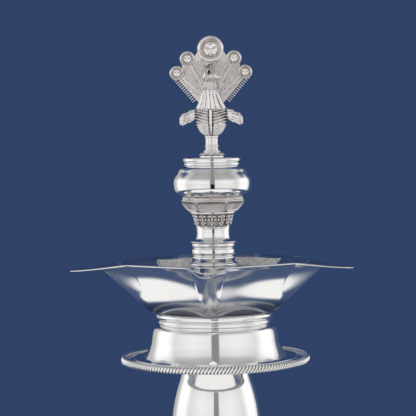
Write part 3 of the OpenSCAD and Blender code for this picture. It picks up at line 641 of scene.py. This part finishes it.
def cutThread(node):
    body, pitch, length = studs[node]
    radius, low, high = span(node)
    root = radius - pitch * threadMake["depthShare"]
    turns = int(length / pitch) + threadMake["spareTurns"]
    steps, start = threadMake["steps"], low - pitch
    flank = zip((root, radius, radius, root, root), threadMake["flankShares"])
    bm = bmesh.new()
    coil = drawLine(bm, [(r, 0, start + share * pitch) for r, share in flank])
    sweep(bm, coil, fullTurn * turns, steps * turns, climb=pitch / steps)
    bmesh.ops.remove_doubles(bm, verts=bm.verts, dist=near)
    for level, upward in ((low + pitch / 2, -1), (low + length, 1)):
        cut = cutAway(bm, (0, 0, level), (0, 0, upward))
        rim = [e for e in cut["geom_cut"] if isinstance(e, bmesh.types.BMEdge)]
        bmesh.ops.contextual_create(bm, geom=rim)
    bmesh.ops.recalc_face_normals(bm, faces=bm.faces)
    core, room = root - threadMake["rootRoom"], threadMake["rootRoom"]
    outline = [(0, low), (core, low), (core, low + length), (radius, low + length),
               (radius, high), (0, high)]
    joinTo(bm, spin(softened(outline, room), threadMake["rodSteps"]))
    addPiece(node, body, bm, brass, name=node.replace("_stud", "Screw"))


# ---- foot and stem: outlines as shares of a piece's own radius and height, lengths in metres
foot = {"bell": [(1, 0), (0.86, 0.1), (0.66, 0.24), (0.48, 0.44), (0.34, 0.72)],
        "bellNeck": 0.0105, "wall": 0.0011, "restWidth": 0.004, "restRound": 0.0006,
        "plateLap": 0.004, "cushionLap": 0.002, "collarHole": 0.00625, "knopHole": 0.00405,
        "fineSteps": 24}
stem = {"line": [(0.6, 0.07), (0.83, 0.2), (0.965, 0.34), (1, 0.49), (0.965, 0.66), (0.88, 0.82),
                 (0.79, 0.94)], "lowRadius": 0.01, "topRadius": 0.0171, "beadHole": 0.004}


def buildFoot():
    wall, fine = foot["wall"], foot["fineSteps"]
    restR, low, high = span("foot_rest_ring")
    addSpun("foot_rest_ring", "foot", block(restR, restR - foot["restWidth"], low, high), cast,
            foot["restRound"], "restRing")
    plateR, low, high = span("foot_plate")
    hole = span("foot_cushion")[0] - foot["plateLap"]
    addSpun("foot_plate", "foot", block(plateR, hole, low, high))
    hole = span("foot_bell")[0] - wall - foot["cushionLap"]
    addBead("foot_cushion", "foot", hole, steps=fine)
    line = profile("foot_bell", foot["bell"], over=foot["bellNeck"])
    addSpun("foot_bell", "foot", shell(line, wall))
    addBead("foot_collar", "foot", foot["collarHole"])
    addBead("waist_knop", "waist", foot["knopHole"], steps=fine)


def buildStem():
    wall, top = foot["wall"], stem["topRadius"]
    addBead("stem_bead", "stem", stem["beadHole"])
    line = profile("stem_shell", stem["line"], stem["lowRadius"], top)
    addSpun("stem_shell", "stem", shell(line, wall))
    ringR, low, high = span("stem_top_ring")
    line = smooth([(top, low), (top - wall, (low + high) / 2), (ringR, high)])
    addSpun("stem_top_ring", "stem", shell(line, 2 * wall))


buildFoot()
buildStem()
for ropeNode in ropes:
    layRope(ropeNode)
for studNode in studs:
    cutThread(studNode)
print("foot, stem, ropes and screws built")


# ---- drip plate, drum and the loose ring on it
drum = {"line": [(1, 0), (0.972, 0.09), (0.94, 0.24), (0.908, 0.48), (0.893, 0.7), (0.866, 0.9)],
        "topRadius": 0.0282, "plateHole": 0.0149, "ringHole": 0.024, "webRadius": 0.0251,
        "looseHole": 0.00405}


def buildDrum():
    wall = foot["wall"]
    plateR, low, high = span("drip_plate")
    addSpun("drip_plate", "stem", block(plateR, drum["plateHole"], low, high))
    addBead("plate_step", "stem", span("drum_shell")[0] - 2 * wall)
    line = profile("drum_shell", drum["line"], over=drum["topRadius"])
    addSpun("drum_shell", "stem", shell(line, wall))
    addBead("drum_ring", "stem", drum["ringHole"])
    low = span("drum_ring")[2]
    ringR, webLow, high = span("dish_ring")
    side = bead(ringR, 0, low, high, (high - low) / 2)[1:-1]
    web, hole = drum["webRadius"], drum["looseHole"]
    addSpun("dish_ring", "ring",
            [(hole, webLow), (web, webLow), (web, low)] + side + [(hole, high)])


buildDrum()
print("drum built")


# ---- oil dish: half a spout and half the wall next to it, mirrored and turned five times.
# creases are the sharp folds along columns of its grid, by the column, from 0 to 1 sharp.
dish = {"spouts": 5, "tip": 0.0738, "tipHalf": 0.0018, "keelTop": 0.056, "keelFoot": 0.032,
        "root": 0.045, "rootHalf": 0.0094, "flare": 0.002, "flareRise": 0.0017, "sheet": 0.0009,
        "keelDrop": 0.0028, "tipDrop": 0.0029, "sway": 0.0013, "belly": 0.0008, "inner": 0.004,
        "footShare": 0.1, "tipShare": 0.92, "edgeBow": 1.15, "dropBow": 1.6,
        "creases": {0: 0.85, 5: 0.55}, "foldCrease": 0.75, "sharp": 60}
# where the grid's lines lie: across from keel to wall middle, and along each of three zones
dishColumns = [0, 0.035, 0.12, 0.24, 0.35, 0.42, 0.49, 0.6, 0.74, 0.87, 1]
wallRows = [0.06, 0.18, 0.32, 0.46, 0.6, 0.74, 0.86, 0.96]
lipRows = [0, 0.25, 0.5, 0.75, 1]
floorRows = [0, 0.35, 0.7, 0.94]
cornerColumn = 0.42


def dishSheet():
    _, low, rim = span("oil_dish")
    half = pi / dish["spouts"]
    top = rim - dish["sheet"]
    out = Vector((cos(half), sin(half), 0))  # toward the middle of the wall
    corner = Vector((dish["root"], dish["rootHalf"], top - dish["flareRise"]))
    cornerOut = corner + out * dish["flare"]
    cornerOut.z = top
    keelFoot = Vector((dish["keelFoot"], 0, low))
    keelTop = Vector((dish["keelTop"], 0, top - dish["keelDrop"]))
    footMiddle = out * (dish["keelFoot"] * cos(half)) + Vector((0, 0, low))
    wallMiddle, rimMiddle = (out * point.dot(out) + Vector((0, 0, point.z))
                             for point in (corner, cornerOut))
    footShare, tipShare = dish["footShare"], dish["tipShare"]

    def lipEdge(share):  # 0 at the root, 1 at the tip
        reach = cornerOut.x + (dish["tip"] - dish["tipHalf"] - cornerOut.x) * share
        width = dish["tipHalf"] + (cornerOut.y - dish["tipHalf"]) * (1 - share) ** dish["edgeBow"]
        return Vector((reach, width, top - dish["tipDrop"] * share ** dish["dropBow"]))

    def foldsAt(u):  # lower fold, upper fold and rim edge at one place along the sheet
        if u >= cornerColumn:
            t = (u - cornerColumn) / (1 - cornerColumn)
            foldLow = keelFoot.lerp(footMiddle, footShare + (1 - footShare) * t)
            return foldLow, corner.lerp(wallMiddle, t), cornerOut.lerp(rimMiddle, t), 0
        t = 1 - u / cornerColumn  # 1 on the keel
        foldLow = keelFoot.lerp(footMiddle, footShare * (1 - t))
        tip = Vector((dish["tip"], 0, top - dish["tipDrop"]))
        edge = (lipEdge(t / tipShare) if t < tipShare
                else lipEdge(1).lerp(tip, (t - tipShare) / (1 - tipShare)))
        return foldLow, corner.lerp(keelTop, t), edge, t

    def place(u, row):
        foldLow, foldHigh, edge, t = foldsAt(u)
        zone, share = row
        if zone == "floor":
            start = foldLow.normalized() * dish["inner"]
            return Vector((*(Vector(start.xy).lerp(foldLow.xy, share)), low))
        if zone == "wall":
            side = min(1, u / cornerColumn) ** 2
            centred = max(0, (u - cornerColumn) / (1 - cornerColumn))
            sway = dish["sway"] * sin(fullTurn * share) * side
            belly = dish["belly"] * sin(pi * share) * sin(centred * pi / 2)
            return foldLow.lerp(foldHigh, share) + out * (sway + belly)
        spot = foldHigh.lerp(edge, share)
        bowed = (top - dish["tipDrop"] * share ** dish["dropBow"]
                 - dish["keelDrop"] * (1 - share) ** 2)
        spot.z = spot.z * (1 - t) + bowed * t
        return spot

    rows = ([("floor", s) for s in floorRows] + [("wall", s) for s in [0] + wallRows]
            + [("lip", s) for s in lipRows])
    lastColumn, lastRow = len(dishColumns) - 1, len(rows) - 1
    bm = bmesh.new()
    bmesh.ops.create_grid(bm, x_segments=lastColumn, y_segments=lastRow, size=1)
    bm.verts.index_update()
    cell = {v.index: (round((v.co.x + 1) / 2 * lastColumn), round((v.co.y + 1) / 2 * lastRow))
            for v in bm.verts}
    for v in bm.verts:
        i, j = cell[v.index]
        v.co = place(dishColumns[i], rows[j])
    crease = bm.edges.layers.float.new("crease_edge")
    footFold, rimFold = len(floorRows), len(floorRows) + len(wallRows) + 1
    for e in bm.edges:
        (i, j), (k, m) = (cell[v.index] for v in e.verts)
        if i == k and i in dish["creases"] and footFold <= min(j, m):
            e[crease] = dish["creases"][i]
        if j == m and j in (footFold, rimFold):
            e[crease] = dish["foldCrease"]
    bmesh.ops.mirror(bm, geom=whole(bm), merge_dist=loose, axis="Y")
    bmesh.ops.remove_doubles(bm, verts=bm.verts, dist=loose)
    bmesh.ops.rotate(bm, cent=(0, 0, 0), matrix=Matrix.Rotation(-pi / 2, 3, "Z"), verts=bm.verts)
    copyRound(bm, dish["spouts"])
    bmesh.ops.remove_doubles(bm, verts=bm.verts, dist=loose)
    bmesh.ops.recalc_face_normals(bm, faces=bm.faces)
    if sum(f.normal.z for f in bm.faces) > 0:  # outer side of the dish looks down
        bmesh.ops.reverse_faces(bm, faces=bm.faces)
    return bm


hub = {"line": [(1, 0), (0.82, 0.1), (0.73, 0.35), (0.69, 0.7)], "topRadius": 0.0115,
       "hole": 0.00525, "under": 0.0012}


def buildDish():
    piece = addPiece("oil_dish", "dish", dishSheet(), beaten, dish["sharp"])
    piece.data.materials.append(oiled)  # for the sheet's inner side
    sheet = piece.modifiers.new("sheet", "SOLIDIFY")
    sheet.thickness, sheet.offset, sheet.material_offset = dish["sheet"], -1, 1
    folds = piece.modifiers.new("folds", "SUBSURF")
    folds.levels = folds.render_levels = 2
    high, wall, hole = span("dish_hub")[2], foot["wall"], hub["hole"]
    line = profile("dish_hub", hub["line"], over=hub["topRadius"])
    inner = [p for p in inward(line, wall)[::-1] if p[1] < high - hub["under"]]
    lid = [(hole, high), (hole, high - wall), (inner[0][0], high - wall)]
    addSpun("dish_hub", "dish", line + lid + inner)


buildDish()
print("dish built")


# ---- column: flange, collar, neck, globe and cap
column = {"rod": 0.003, "flangeHole": 0.00305, "capHole": 0.00425, "washerHole": 0.00205,
          "barRadius": 0.011, "grooves": (0.37, 0.76), "grooveDepth": 0.0007, "grooveShare": 0.07,
          "lipHeight": 0.0009, "collarRound": 0.00035,
          "neck": [(0, 0), (0.64, 0.1), (0.93, 0.28), (1, 0.55), (0.93, 0.82), (0.82, 1)],
          "neckRadius": 0.0084,
          "globeLow": [(0.66, 0), (0.83, 0.025), (0.92, 0.1), (0.975, 0.22), (1, 0.43)],
          "globeTop": [(1, 0.43), (0.985, 0.56), (0.94, 0.68), (0.885, 0.79), (0.835, 0.9)],
          "mouthRadius": 0.0144, "seamRound": 0.0001, "capRound": 0.0003}


def buildColumn():
    wall, rod = foot["wall"], column["rod"]
    addBead("column_flange", "flange", column["flangeHole"])
    lipR, low, high = span("collar")
    lip = high - column["lipHeight"]
    bar, barR, deepR = lip - low, column["barRadius"], column["barRadius"] - column["grooveDepth"]
    outline = [(rod, low), (barR, low)]
    for share in column["grooves"]:
        z, h = low + bar * share, bar * column["grooveShare"]
        outline += [(barR, z - h), (deepR, z - h / 2), (deepR, z + h / 2), (barR, z + h)]
    outline += [(barR, lip), (lipR, lip + column["lipHeight"] / 2), (lipR, high), (rod, high)]
    addSpun("collar", "column", outline, size=column["collarRound"])
    neckR, low, high = span("neck")
    line = smooth([(neckR + (column["neckRadius"] - neckR) * share, low + up * (high - low))
                   for share, up in column["neck"]])
    addSpun("neck", "column", [(rod, low)] + line + [(rod, high)])
    addBead("capital_disc", "column", rod)
    globeR, low, _ = span("globe_lower")
    top = span("globe_upper")[2]
    line = smooth(scaled(column["globeLow"], globeR, low, top))
    inner = [p for p in inward(line, wall)[::-1] if p[1] > low + wall]
    addSpun("globe_lower", "column", [(0, low)] + line + inner + [(0, low + wall)])
    line = smooth(scaled(column["globeTop"], globeR, low, top) + [(column["mouthRadius"], top)])
    addSpun("globe_upper", "column", shell(line, wall), size=column["seamRound"])
    addBead("globe_mouth", "column", span("globe_mouth")[0] - 2 * wall, flat=3)
    addBead("cap_disc", "column", column["capHole"], flat=3, size=column["capRound"])
    washerR, low, high = span("finial_washer")
    addSpun("finial_washer", "washer", block(washerR, column["washerHole"], low, high))


buildColumn()
print("column built")


# ---- leafy capital and six-sided cup
leaves = {"count": 12, "coreFoot": 0.86, "coreSunk": 0.0009, "coreRim": 0.0006,
          "coreRound": 0.0002}
# each lobe in millimetres: middle across, middle out from the core, height over its foot, half
# sizes; and its tilt in degrees
leafLobes = [(0, 0.2, 3.0, (0.4, 0.7, 2.4), 10), (1.15, 0.1, 4.75, (0.95, 0.85, 0.8), 0),
             (1.45, 0, 3.0, (0.62, 0.7, 0.75), 0), (0.8, 0, 1.5, (0.6, 0.7, 0.65), 0),
             (0, 0.3, 0.7, (0.75, 0.75, 0.6), 0), (0, 0.3, 5.15, (0.8, 0.8, 0.42), 0)]
# the cup's band: depth under its full radius in metres, share of its height. The panel's
# outline: shares of the width there and of the panel's length.
cup = {"sides": 6, "wall": 0.0022, "floor": 0.0011, "round": 0.00011, "panelShare": 0.7,
       "band": [(0.00005, 0.7), (0.0001, 0.74), (0.0007, 0.8), (0.0005, 0.87), (0.0007, 0.94),
                (0.0013, 1)],
       "panel": [(0.6, 0.06), (0.8, 0.12), (0.9, 0.24), (0.94, 0.4), (0.955, 0.9)],
       "panelRise": 0.0009, "panelSteps": [(0.0006, 0), (0.00024, -0.0004), (0.0005, 0.0003)],
       "budRadius": 0.0019, "budTip": 0.1, "budOut": 0.0013, "budSink": 0.0012, "budTop": 0.86,
       "sharp": 12, "budSharp": 20}


def buildLeaves():
    rod = column["rod"]
    outer, low, high = span("leaf_core")
    under, sunk, rim = outer * leaves["coreFoot"], leaves["coreSunk"], leaves["coreRim"]
    outline = [(rod, low), (under, low), (under - sunk, low + rim), (outer - sunk, high - rim),
               (outer, high), (rod, high)]
    addSpun("leaf_core", "column", outline, leafy, leaves["coreRound"])
    lobes = []
    for across, out, up, size, tilt in leafLobes:
        reach = (under + (outer - under) * up * mm / (high - low)) / mm + out
        lobes += [(side, reach, up, size, tilt) for side in {across, -across}]
    addPiece("capital_leaves", "column", leafRing(lobes, low / mm, leaves["count"]), leafy)


def buildCup():
    rod, sides, half = column["rod"], cup["sides"], pi / cup["sides"]
    under = span("capital_disc")[0]
    outer, low, high = span("capital_cup")
    wall, floor = cup["wall"], low + cup["floor"]
    line = [(under, low)] + [(outer - deep, low + (high - low) * up) for deep, up in cup["band"]]
    inner = [(outer - wall, high), (under - wall, floor), (rod, floor)]
    bm = spin(softened([(rod, low)] + line + inner, cup["round"]), sides)
    addPiece("capital_cup", "column", bm, matte, cup["sharp"])

    out, rise = (outer - under) * cos(half), (high - low) * cup["panelShare"]
    lean, length = atan2(out, rise), hypot(out, rise)
    right = smooth([(share * (under + (outer - under) * up) * sin(half), up * length)
                    for share, up in cup["panel"]], 6)
    bm = bmesh.new()
    ring = [bm.verts.new((x, y, 0)) for x, y in right + [(-x, y) for x, y in right[::-1]]]
    raised = bmesh.ops.extrude_face_region(bm, geom=[bm.faces.new(ring)])["geom"]
    bmesh.ops.translate(bm, vec=(0, 0, cup["panelRise"]),
                        verts=[g for g in raised if isinstance(g, bmesh.types.BMVert)])
    top = [g for g in raised if isinstance(g, bmesh.types.BMFace)]
    for width, depth in cup["panelSteps"]:
        bmesh.ops.inset_region(bm, faces=top, thickness=width, depth=depth)
    bmesh.ops.recalc_face_normals(bm, faces=bm.faces)
    bm.transform(Matrix.Translation((0, -under * cos(half), low))
                 @ Matrix.Rotation(pi / 2 + lean, 4, "X"))
    copyRound(bm, sides)
    addPiece("capital_petals", "column", bm, matte, name="cupPanels")

    bm = bmesh.new()
    size, out = cup["budRadius"], cup["budOut"]
    spot = Matrix.Translation((0, -outer * cos(half) + cup["budSink"] - out / 2,
                               span("capital_buds")[2] - size * cup["budTop"]))
    bmesh.ops.create_cone(bm, cap_ends=True, segments=4, radius1=size,
                          radius2=size * cup["budTip"], depth=out,
                          matrix=spot @ Matrix.Rotation(pi / 2, 4, "X"))
    copyRound(bm, sides)
    addPiece("capital_buds", "column", bm, clean, cup["budSharp"], "cupBuds")


# ---- perch and peacock
perch = {"petals": 8, "hole": 0.00205, "foot": 0.0046, "step": (0.0042, 0.0008), "top": 0.0034,
         "post": [(1, 0), (1, 0.05), (0.94, 0.1), (0.93, 0.2), (1, 0.26), (1, 0.34), (0.93, 0.4),
                  (0.92, 0.6), (0.94, 0.84), (1, 0.9), (1, 1)]}
# lobes as for the leaves, but out from the axis
perchLobes = [(0, 4.55, 0.65, (1.3, 2.0, 0.5), 12), (0, 4.4, 0.95, (0.3, 1.9, 0.5), 12),
              (1.2, 3.9, 0.75, (0.55, 1.3, 0.5), 10), (-1.2, 3.9, 0.75, (0.55, 1.3, 0.5), 10)]
perchBuds = [(0, 3.3, 1.75, (1.0, 0.9, 0.95), 20), (0, 3.55, 1.75, (0.25, 0.85, 0.95), 20)]
bird = {"radius": 0.0082, "columns": 180, "wingColumns": 120, "sharp": 70,
        "ribPitch": 0.00128, "ribDepth": 0.12, "dotPitch": 0.0015, "flutes": 14,
        "wingReach": 0.0158, "wingRows": 16, "ribBow": 0.0016, "dots": 18, "scallops": 12,
        "scales": 12, "scaleRows": 9, "crestRound": 0.0002, "beakRound": 0.0001}
# rings of the bird: sideways, forward, half width, half depth as shares of its radius, and up
# as a share of the part's own height
bodyRings = [(0, 0, 0.41, 0.41, 0), (0, 0, 0.68, 0.54, 0.12), (0, 0.03, 0.89, 0.64, 0.33),
             (0, 0.06, 0.98, 0.66, 0.55), (0, 0.1, 1, 0.66, 0.74), (0, 0.14, 0.96, 0.62, 0.9),
             (0, 0.17, 0.885, 0.56, 1)]
neckRings = [(0, 0.17, 0.885, 0.56, 0), (-0.02, 0.25, 0.68, 0.46, 0.25),
             (-0.04, 0.33, 0.52, 0.39, 0.5), (-0.05, 0.38, 0.44, 0.35, 0.75),
             (-0.05, 0.4, 0.4, 0.32, 1)]
headRings = [(0, 0, 0.36, 0.3, 0), (0.02, 0.02, 0.44, 0.42, 0.25), (0.03, 0.04, 0.46, 0.46, 0.55),
             (0.01, 0.02, 0.38, 0.36, 0.82), (-0.02, 0, 0.2, 0.16, 1)]
# rings of a wing: out as a share of its reach, forward, half depth and half height as shares
# of the bird's radius, up as a share of the body's height
wingRings = [(0.5, 0.1, 0.17, 0.36, 0.76), (0.62, 0.11, 0.2, 0.4, 0.71),
             (0.8, 0.12, 0.2, 0.41, 0.62), (0.94, 0.12, 0.17, 0.36, 0.56),
             (1, 0.12, 0.1, 0.2, 0.53)]


def hump(value, middle, width):
    return exp(-((value - middle) / width) ** 2)


def step(value, low, high):
    t = min(max((value - low) / (high - low), 0), 1)
    return t * t * (3 - 2 * t)


def bodyRelief(turn, share, height):
    # central ridge, bowed rib feathers on the breast, rows of dots below, flutes above
    side = abs(cos(turn))
    ridge = 0.07 * hump(side, 0, 0.05) - 0.13 * hump(side, 0.14, 0.05)
    lift = height * share - bird["ribBow"] * side ** 1.5
    ribs = 0.5 + 0.5 * cos(fullTurn * lift / bird["ribPitch"])
    top = step(share, 0.8, 0.95)
    breast = step(share, 0.36, 0.44) * step(side, 0.08, 0.16) * (1 - top)
    rows = cos(fullTurn * height * share / bird["dotPitch"])
    dots = 0.5 + 0.5 * rows * cos(bird["dots"] * turn)
    lower = (1 - step(share, 0.34, 0.42)) * step(side, 0.05, 0.12)
    flutes = (1 - (0.5 + 0.5 * cos(bird["flutes"] * turn)) ** 0.6) * top * 0.19
    return (ridge * (1 - top) - bird["ribDepth"] * (1 - ribs ** 0.7) * breast
            - 0.13 * (1 - dots) * lower - flutes)


def neckRelief(turn, share, height):
    # flutes that fade upward, a scalloped band, then small scales
    flutes = 0.5 + 0.5 * cos(bird["flutes"] * turn)
    band = hump(share, 0.62, 0.035) * (0.14 + 0.12 * cos(bird["scallops"] * turn))
    rows = cos(fullTurn * share * bird["scaleRows"])
    scales = 0.5 + 0.5 * rows * cos(bird["scales"] * turn)
    upper = step(share, 0.66, 0.7)
    flutes = 0.19 * (1 - flutes ** 0.6) * (1 - step(share, 0.5, 0.6))
    return band - flutes - 0.22 * (1 - scales) * upper


def headRelief(turn, share, height):
    # a deep eye in front, an eye on each side and a cheek
    made = 0
    for middle, up, width, depth in ((-1.66, 0.64, 0.3, -0.85), (-0.2, 0.55, 0.22, -0.14),
                                     (-2.9, 0.55, 0.22, -0.14), (-1.0, 0.45, 0.4, 0.1)):
        apart = atan2(sin(turn - middle), cos(turn - middle))
        made += depth * hump(apart, 0, width) * hump(share, up, 0.16)
    return made


def loftBird(node, rings, relief, rows, middle=(0, 0), finish=chased):
    low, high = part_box(node)
    height, radius, line = high.z - low.z, bird["radius"], smooth(rings, rows)

    def shape(turn, share):
        across, ahead, wide, deep, up = line[round(share * (len(line) - 1))]
        k = 1 + relief(turn, share, height)
        return Vector((middle[0] + (across + wide * k * cos(turn)) * radius,
                       middle[1] + (deep * k * sin(turn) - ahead) * radius, low.z + up * height))

    skin = wrap(bird["columns"], len(line) - 1, shape)
    addPiece(node, "peacock", skin, finish, bird["sharp"])


def buildWing(node, side):
    # three layers of feathers, with eight quills round the wing
    low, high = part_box("peacock_body")
    radius, line = bird["radius"], smooth(wingRings, bird["wingRows"])

    def shape(turn, share):
        out, ahead, deep, tall, up = line[round(share * (len(line) - 1))]
        layer = (share * 3 + 0.12 * cos(turn * 2)) % 1
        k = 0.84 + 0.2 * layer ** 1.6 - 0.2 * (0.5 + 0.5 * cos(turn * 8)) ** 2 * (1 - layer * 0.5)
        return Vector((side * out * bird["wingReach"], (deep * k * cos(turn) - ahead) * radius,
                       low.z + up * (high.z - low.z) + tall * k * sin(turn) * radius))

    skin = wrap(bird["wingColumns"], len(line) - 1, shape)
    addPiece(node, "peacock", skin, chased, bird["sharp"])


def buildPerch():
    _, low, high = span("perch_leaves")
    petals, hole, (stepR, stepUp) = perch["petals"], perch["hole"], perch["step"]
    bm = leafRing(perchLobes, low / mm, petals)
    joinTo(bm, leafRing(perchBuds, low / mm, petals, pi / petals))
    joinTo(bm, spin([(hole, low), (perch["foot"], low), (stepR, low + stepUp),
                     (perch["top"], high), (hole, high)]))
    addPiece("perch_leaves", "peacock", bm, cast)
    _, low, high = span("perch_post")
    line = profile("perch_post", perch["post"], steps=5)
    addPiece("perch_post", "peacock", spin([(0, low)] + line + [(0, high)]), cast)


# ---- tail: feathers by their angle in degrees, reach to the medallion and its radius
tail = {"feathers": [(-47.3, 0.0233, 0.0036), (-27, 0.0257, 0.0038), (0, 0.0276, 0.0066),
                     (27, 0.0257, 0.0038), (47.3, 0.0233, 0.0036)],
        "root": 0.232, "grain": 0.00036, "pitch": 0.00088, "fieldLow": 0.0065,
        "fieldHigh": 0.0225, "overhang": 11, "ribRoom": 0.00095, "fanRound": 0.00015,
        "ribRound": 0.00018, "discRound": 0.0002, "teeth": 13,
        "toothHalf": (0.00034, 0.0014, 0.0005), "toothShares": (0.1, 0.88), "combDepth": 0.002,
        "rowShare": 0.9, "discSteps": 96}
# a medallion's outline: radius as a share of its own, height in metres; the small ones have
# a shallow groove
medallion = {"line": [(0.6, 0), (1, 0), (1, 0.0005), (0.97, 0.00095), (0.9, 0.0012),
                      (0.8, 0.00125), (0.745, 0.0009), (0.72, 0.0003), (0.695, 0.0003),
                      (0.67, 0.001), (0.635, 0.00125), (0.6, 0.0009)],
             "small": 0.005, "smallGroove": 0.00075, "hatches": 60, "hatchDepth": 0.00035,
             "bossShare": 0.6, "steps": 360, "bossGrid": (72, 20), "bossSharp": 60}


def feather(angle, reach):
    return Vector((reach * sin(radians(angle)), 0, tail["root"] + reach * cos(radians(angle))))


def onTail(spot, depth):
    return Matrix.Translation((spot.x, depth, spot.z)) @ Matrix.Rotation(pi / 2, 4, "X")


def tailSide():
    # the fan's outer edge on the right: its ends and the way out from it
    angle, reach, radius = tail["feathers"][-1]
    low = Vector((bird["radius"], 0, tail["root"]))
    bow = radians(angle + 100)  # toward the medallion's outer side
    high = feather(angle, reach) + radius * Vector((sin(bow), 0, cos(bow)))
    along = (high - low).normalized()
    return low, high, Vector((along.z, 0, -along.x))


def layGrains(bm, depth):
    reach, row = tail["fieldLow"], 0
    last = tail["feathers"][-1][0] + tail["overhang"]
    low, _, out = tailSide()
    room = tail["combDepth"] + tail["grain"]
    while reach < tail["fieldHigh"]:
        turn = tail["pitch"] / reach * 180 / pi
        count = int(last / turn)
        for k in range(-count, count + 1):
            angle = (k + 0.5 * (row % 2)) * turn
            spot = feather(angle, reach)
            clear = all(abs(sin(radians(angle - f))) * reach > tail["ribRoom"]
                        and (spot - feather(f, far)).length > radius + tail["grain"] * 0.3
                        for f, far, radius in tail["feathers"])
            beyond = (Vector((abs(spot.x), 0, spot.z)) - low).dot(out)
            if clear and beyond < -room:
                bmesh.ops.create_icosphere(bm, subdivisions=1, radius=tail["grain"],
                                           matrix=Matrix.Translation((spot.x, depth, spot.z)))
        reach += tail["pitch"] * tail["rowShare"]
        row += 1


def buildComb(depth):
    # a comb of short teeth along both outer edges, open between the teeth
    low, high, out = tailSide()
    wide, long_, thick = tail["toothHalf"]
    first, reach = tail["toothShares"]
    turn = atan2(-out.z, out.x)
    bm = bmesh.new()
    for i in range(tail["teeth"]):
        spot = low.lerp(high, first + reach * i / (tail["teeth"] - 1))
        spot -= out * tail["combDepth"] * 0.5
        for side in (-1, 1):
            place = Matrix.Translation((side * spot.x, depth + thick, spot.z))
            shape = Matrix.Rotation(side * turn, 4, "Y") @ Matrix.Diagonal((long_, thick, wide, 1))
            bmesh.ops.create_icosphere(bm, subdivisions=2, radius=1, matrix=place @ shape)
    addPiece("tail_edges", "peacock", bm, cast, name="tailComb")


def buildFan(depth):
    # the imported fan, cut back where the comb stands, with a disc behind each outer medallion
    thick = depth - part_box("tail_fan")[1].y
    bm = fromNode("tail_fan", tail["fanRound"])
    low, _, out = tailSide()
    inset = low - out * tail["combDepth"]
    angle, reach, radius = tail["feathers"][-1]
    for side in (-1, 1):
        cutAway(bm, (side * inset.x, 0, inset.z), (side * out.x, 0, out.z))
        bmesh.ops.holes_fill(bm, edges=[e for e in bm.edges if e.is_boundary], sides=0)
        outline = softened(block(radius, 0, thick, 0), tail["discRound"])
        disc = spin(outline, tail["discSteps"])
        disc.transform(onTail(feather(side * angle, reach), depth))
        joinTo(bm, disc)
    layGrains(bm, depth)
    addPiece("tail_fan", "peacock", bm, cast, keptSharp)


def buildMedallions(depth):
    rings, bosses = bmesh.new(), bmesh.new()
    for angle, reach, radius in tail["feathers"]:
        low = 0 if radius > medallion["small"] else medallion["smallGroove"]
        ring = spin([(r * radius, max(z, low) if 0.6 < r < 0.9 else z)
                     for r, z in medallion["line"]], medallion["steps"])
        for v in ring.verts:
            share, turn = hypot(v.co.x, v.co.y) / radius, atan2(v.co.y, v.co.x)
            lowered = step(-sin(turn), -0.2, 0.3) * hump(share, 0.82, 0.07)
            hatch = 0.5 + 0.5 * cos(medallion["hatches"] * turn)
            v.co.z -= medallion["hatchDepth"] * lowered * hatch
        wide = radius * medallion["bossShare"]

        def dome(turn, share):
            lobes = (0.5 - 0.5 * sin(3 * turn)) ** 0.5
            rise = sqrt(max(0, 1 - share ** 2)) * (0.6 + 0.4 * lobes * min(1, 3 * share))
            return Vector((wide * share * cos(turn), wide * share * sin(turn), rise * wide * 0.5))

        for part, made in ((ring, rings), (wrap(*medallion["bossGrid"], dome), bosses)):
            part.transform(onTail(feather(angle, reach), depth))
            joinTo(made, part)
    addPiece("medallion_rings", "peacock", rings, clean)
    addPiece("medallion_bosses", "peacock", bosses, clean, medallion["bossSharp"])


def buildTail():
    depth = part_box("tail_ribs")[1].y
    buildFan(depth)
    addKept("tail_ribs", "peacock", tail["ribRound"], cast)
    buildComb(depth)
    buildMedallions(depth)


buildLeaves()
buildCup()
print("capital built")
buildPerch()
headAt = (neckRings[-1][0] * bird["radius"], -neckRings[-1][1] * bird["radius"])
loftBird("peacock_body", bodyRings, bodyRelief, 24)
loftBird("peacock_neck", neckRings, neckRelief, 30)
loftBird("peacock_head", headRings, headRelief, 14, headAt, head)
addKept("peacock_crest", "peacock", bird["crestRound"], stained)
addKept("peacock_beak", "peacock", bird["beakRound"], cast)
buildWing("wing_left", -1)
buildWing("wing_right", 1)
buildTail()
print("peacock built")


# ---- CAD nodes that keep their shape
for bush in ("foot_bush", "stem_plug", "drum_bush", "hub_bush", "cap_bush"):
    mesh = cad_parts[bush].data
    mesh.materials.clear()
    mesh.materials.append(brass)
print("CAD nodes dressed")

bpy.context.view_layer.update()
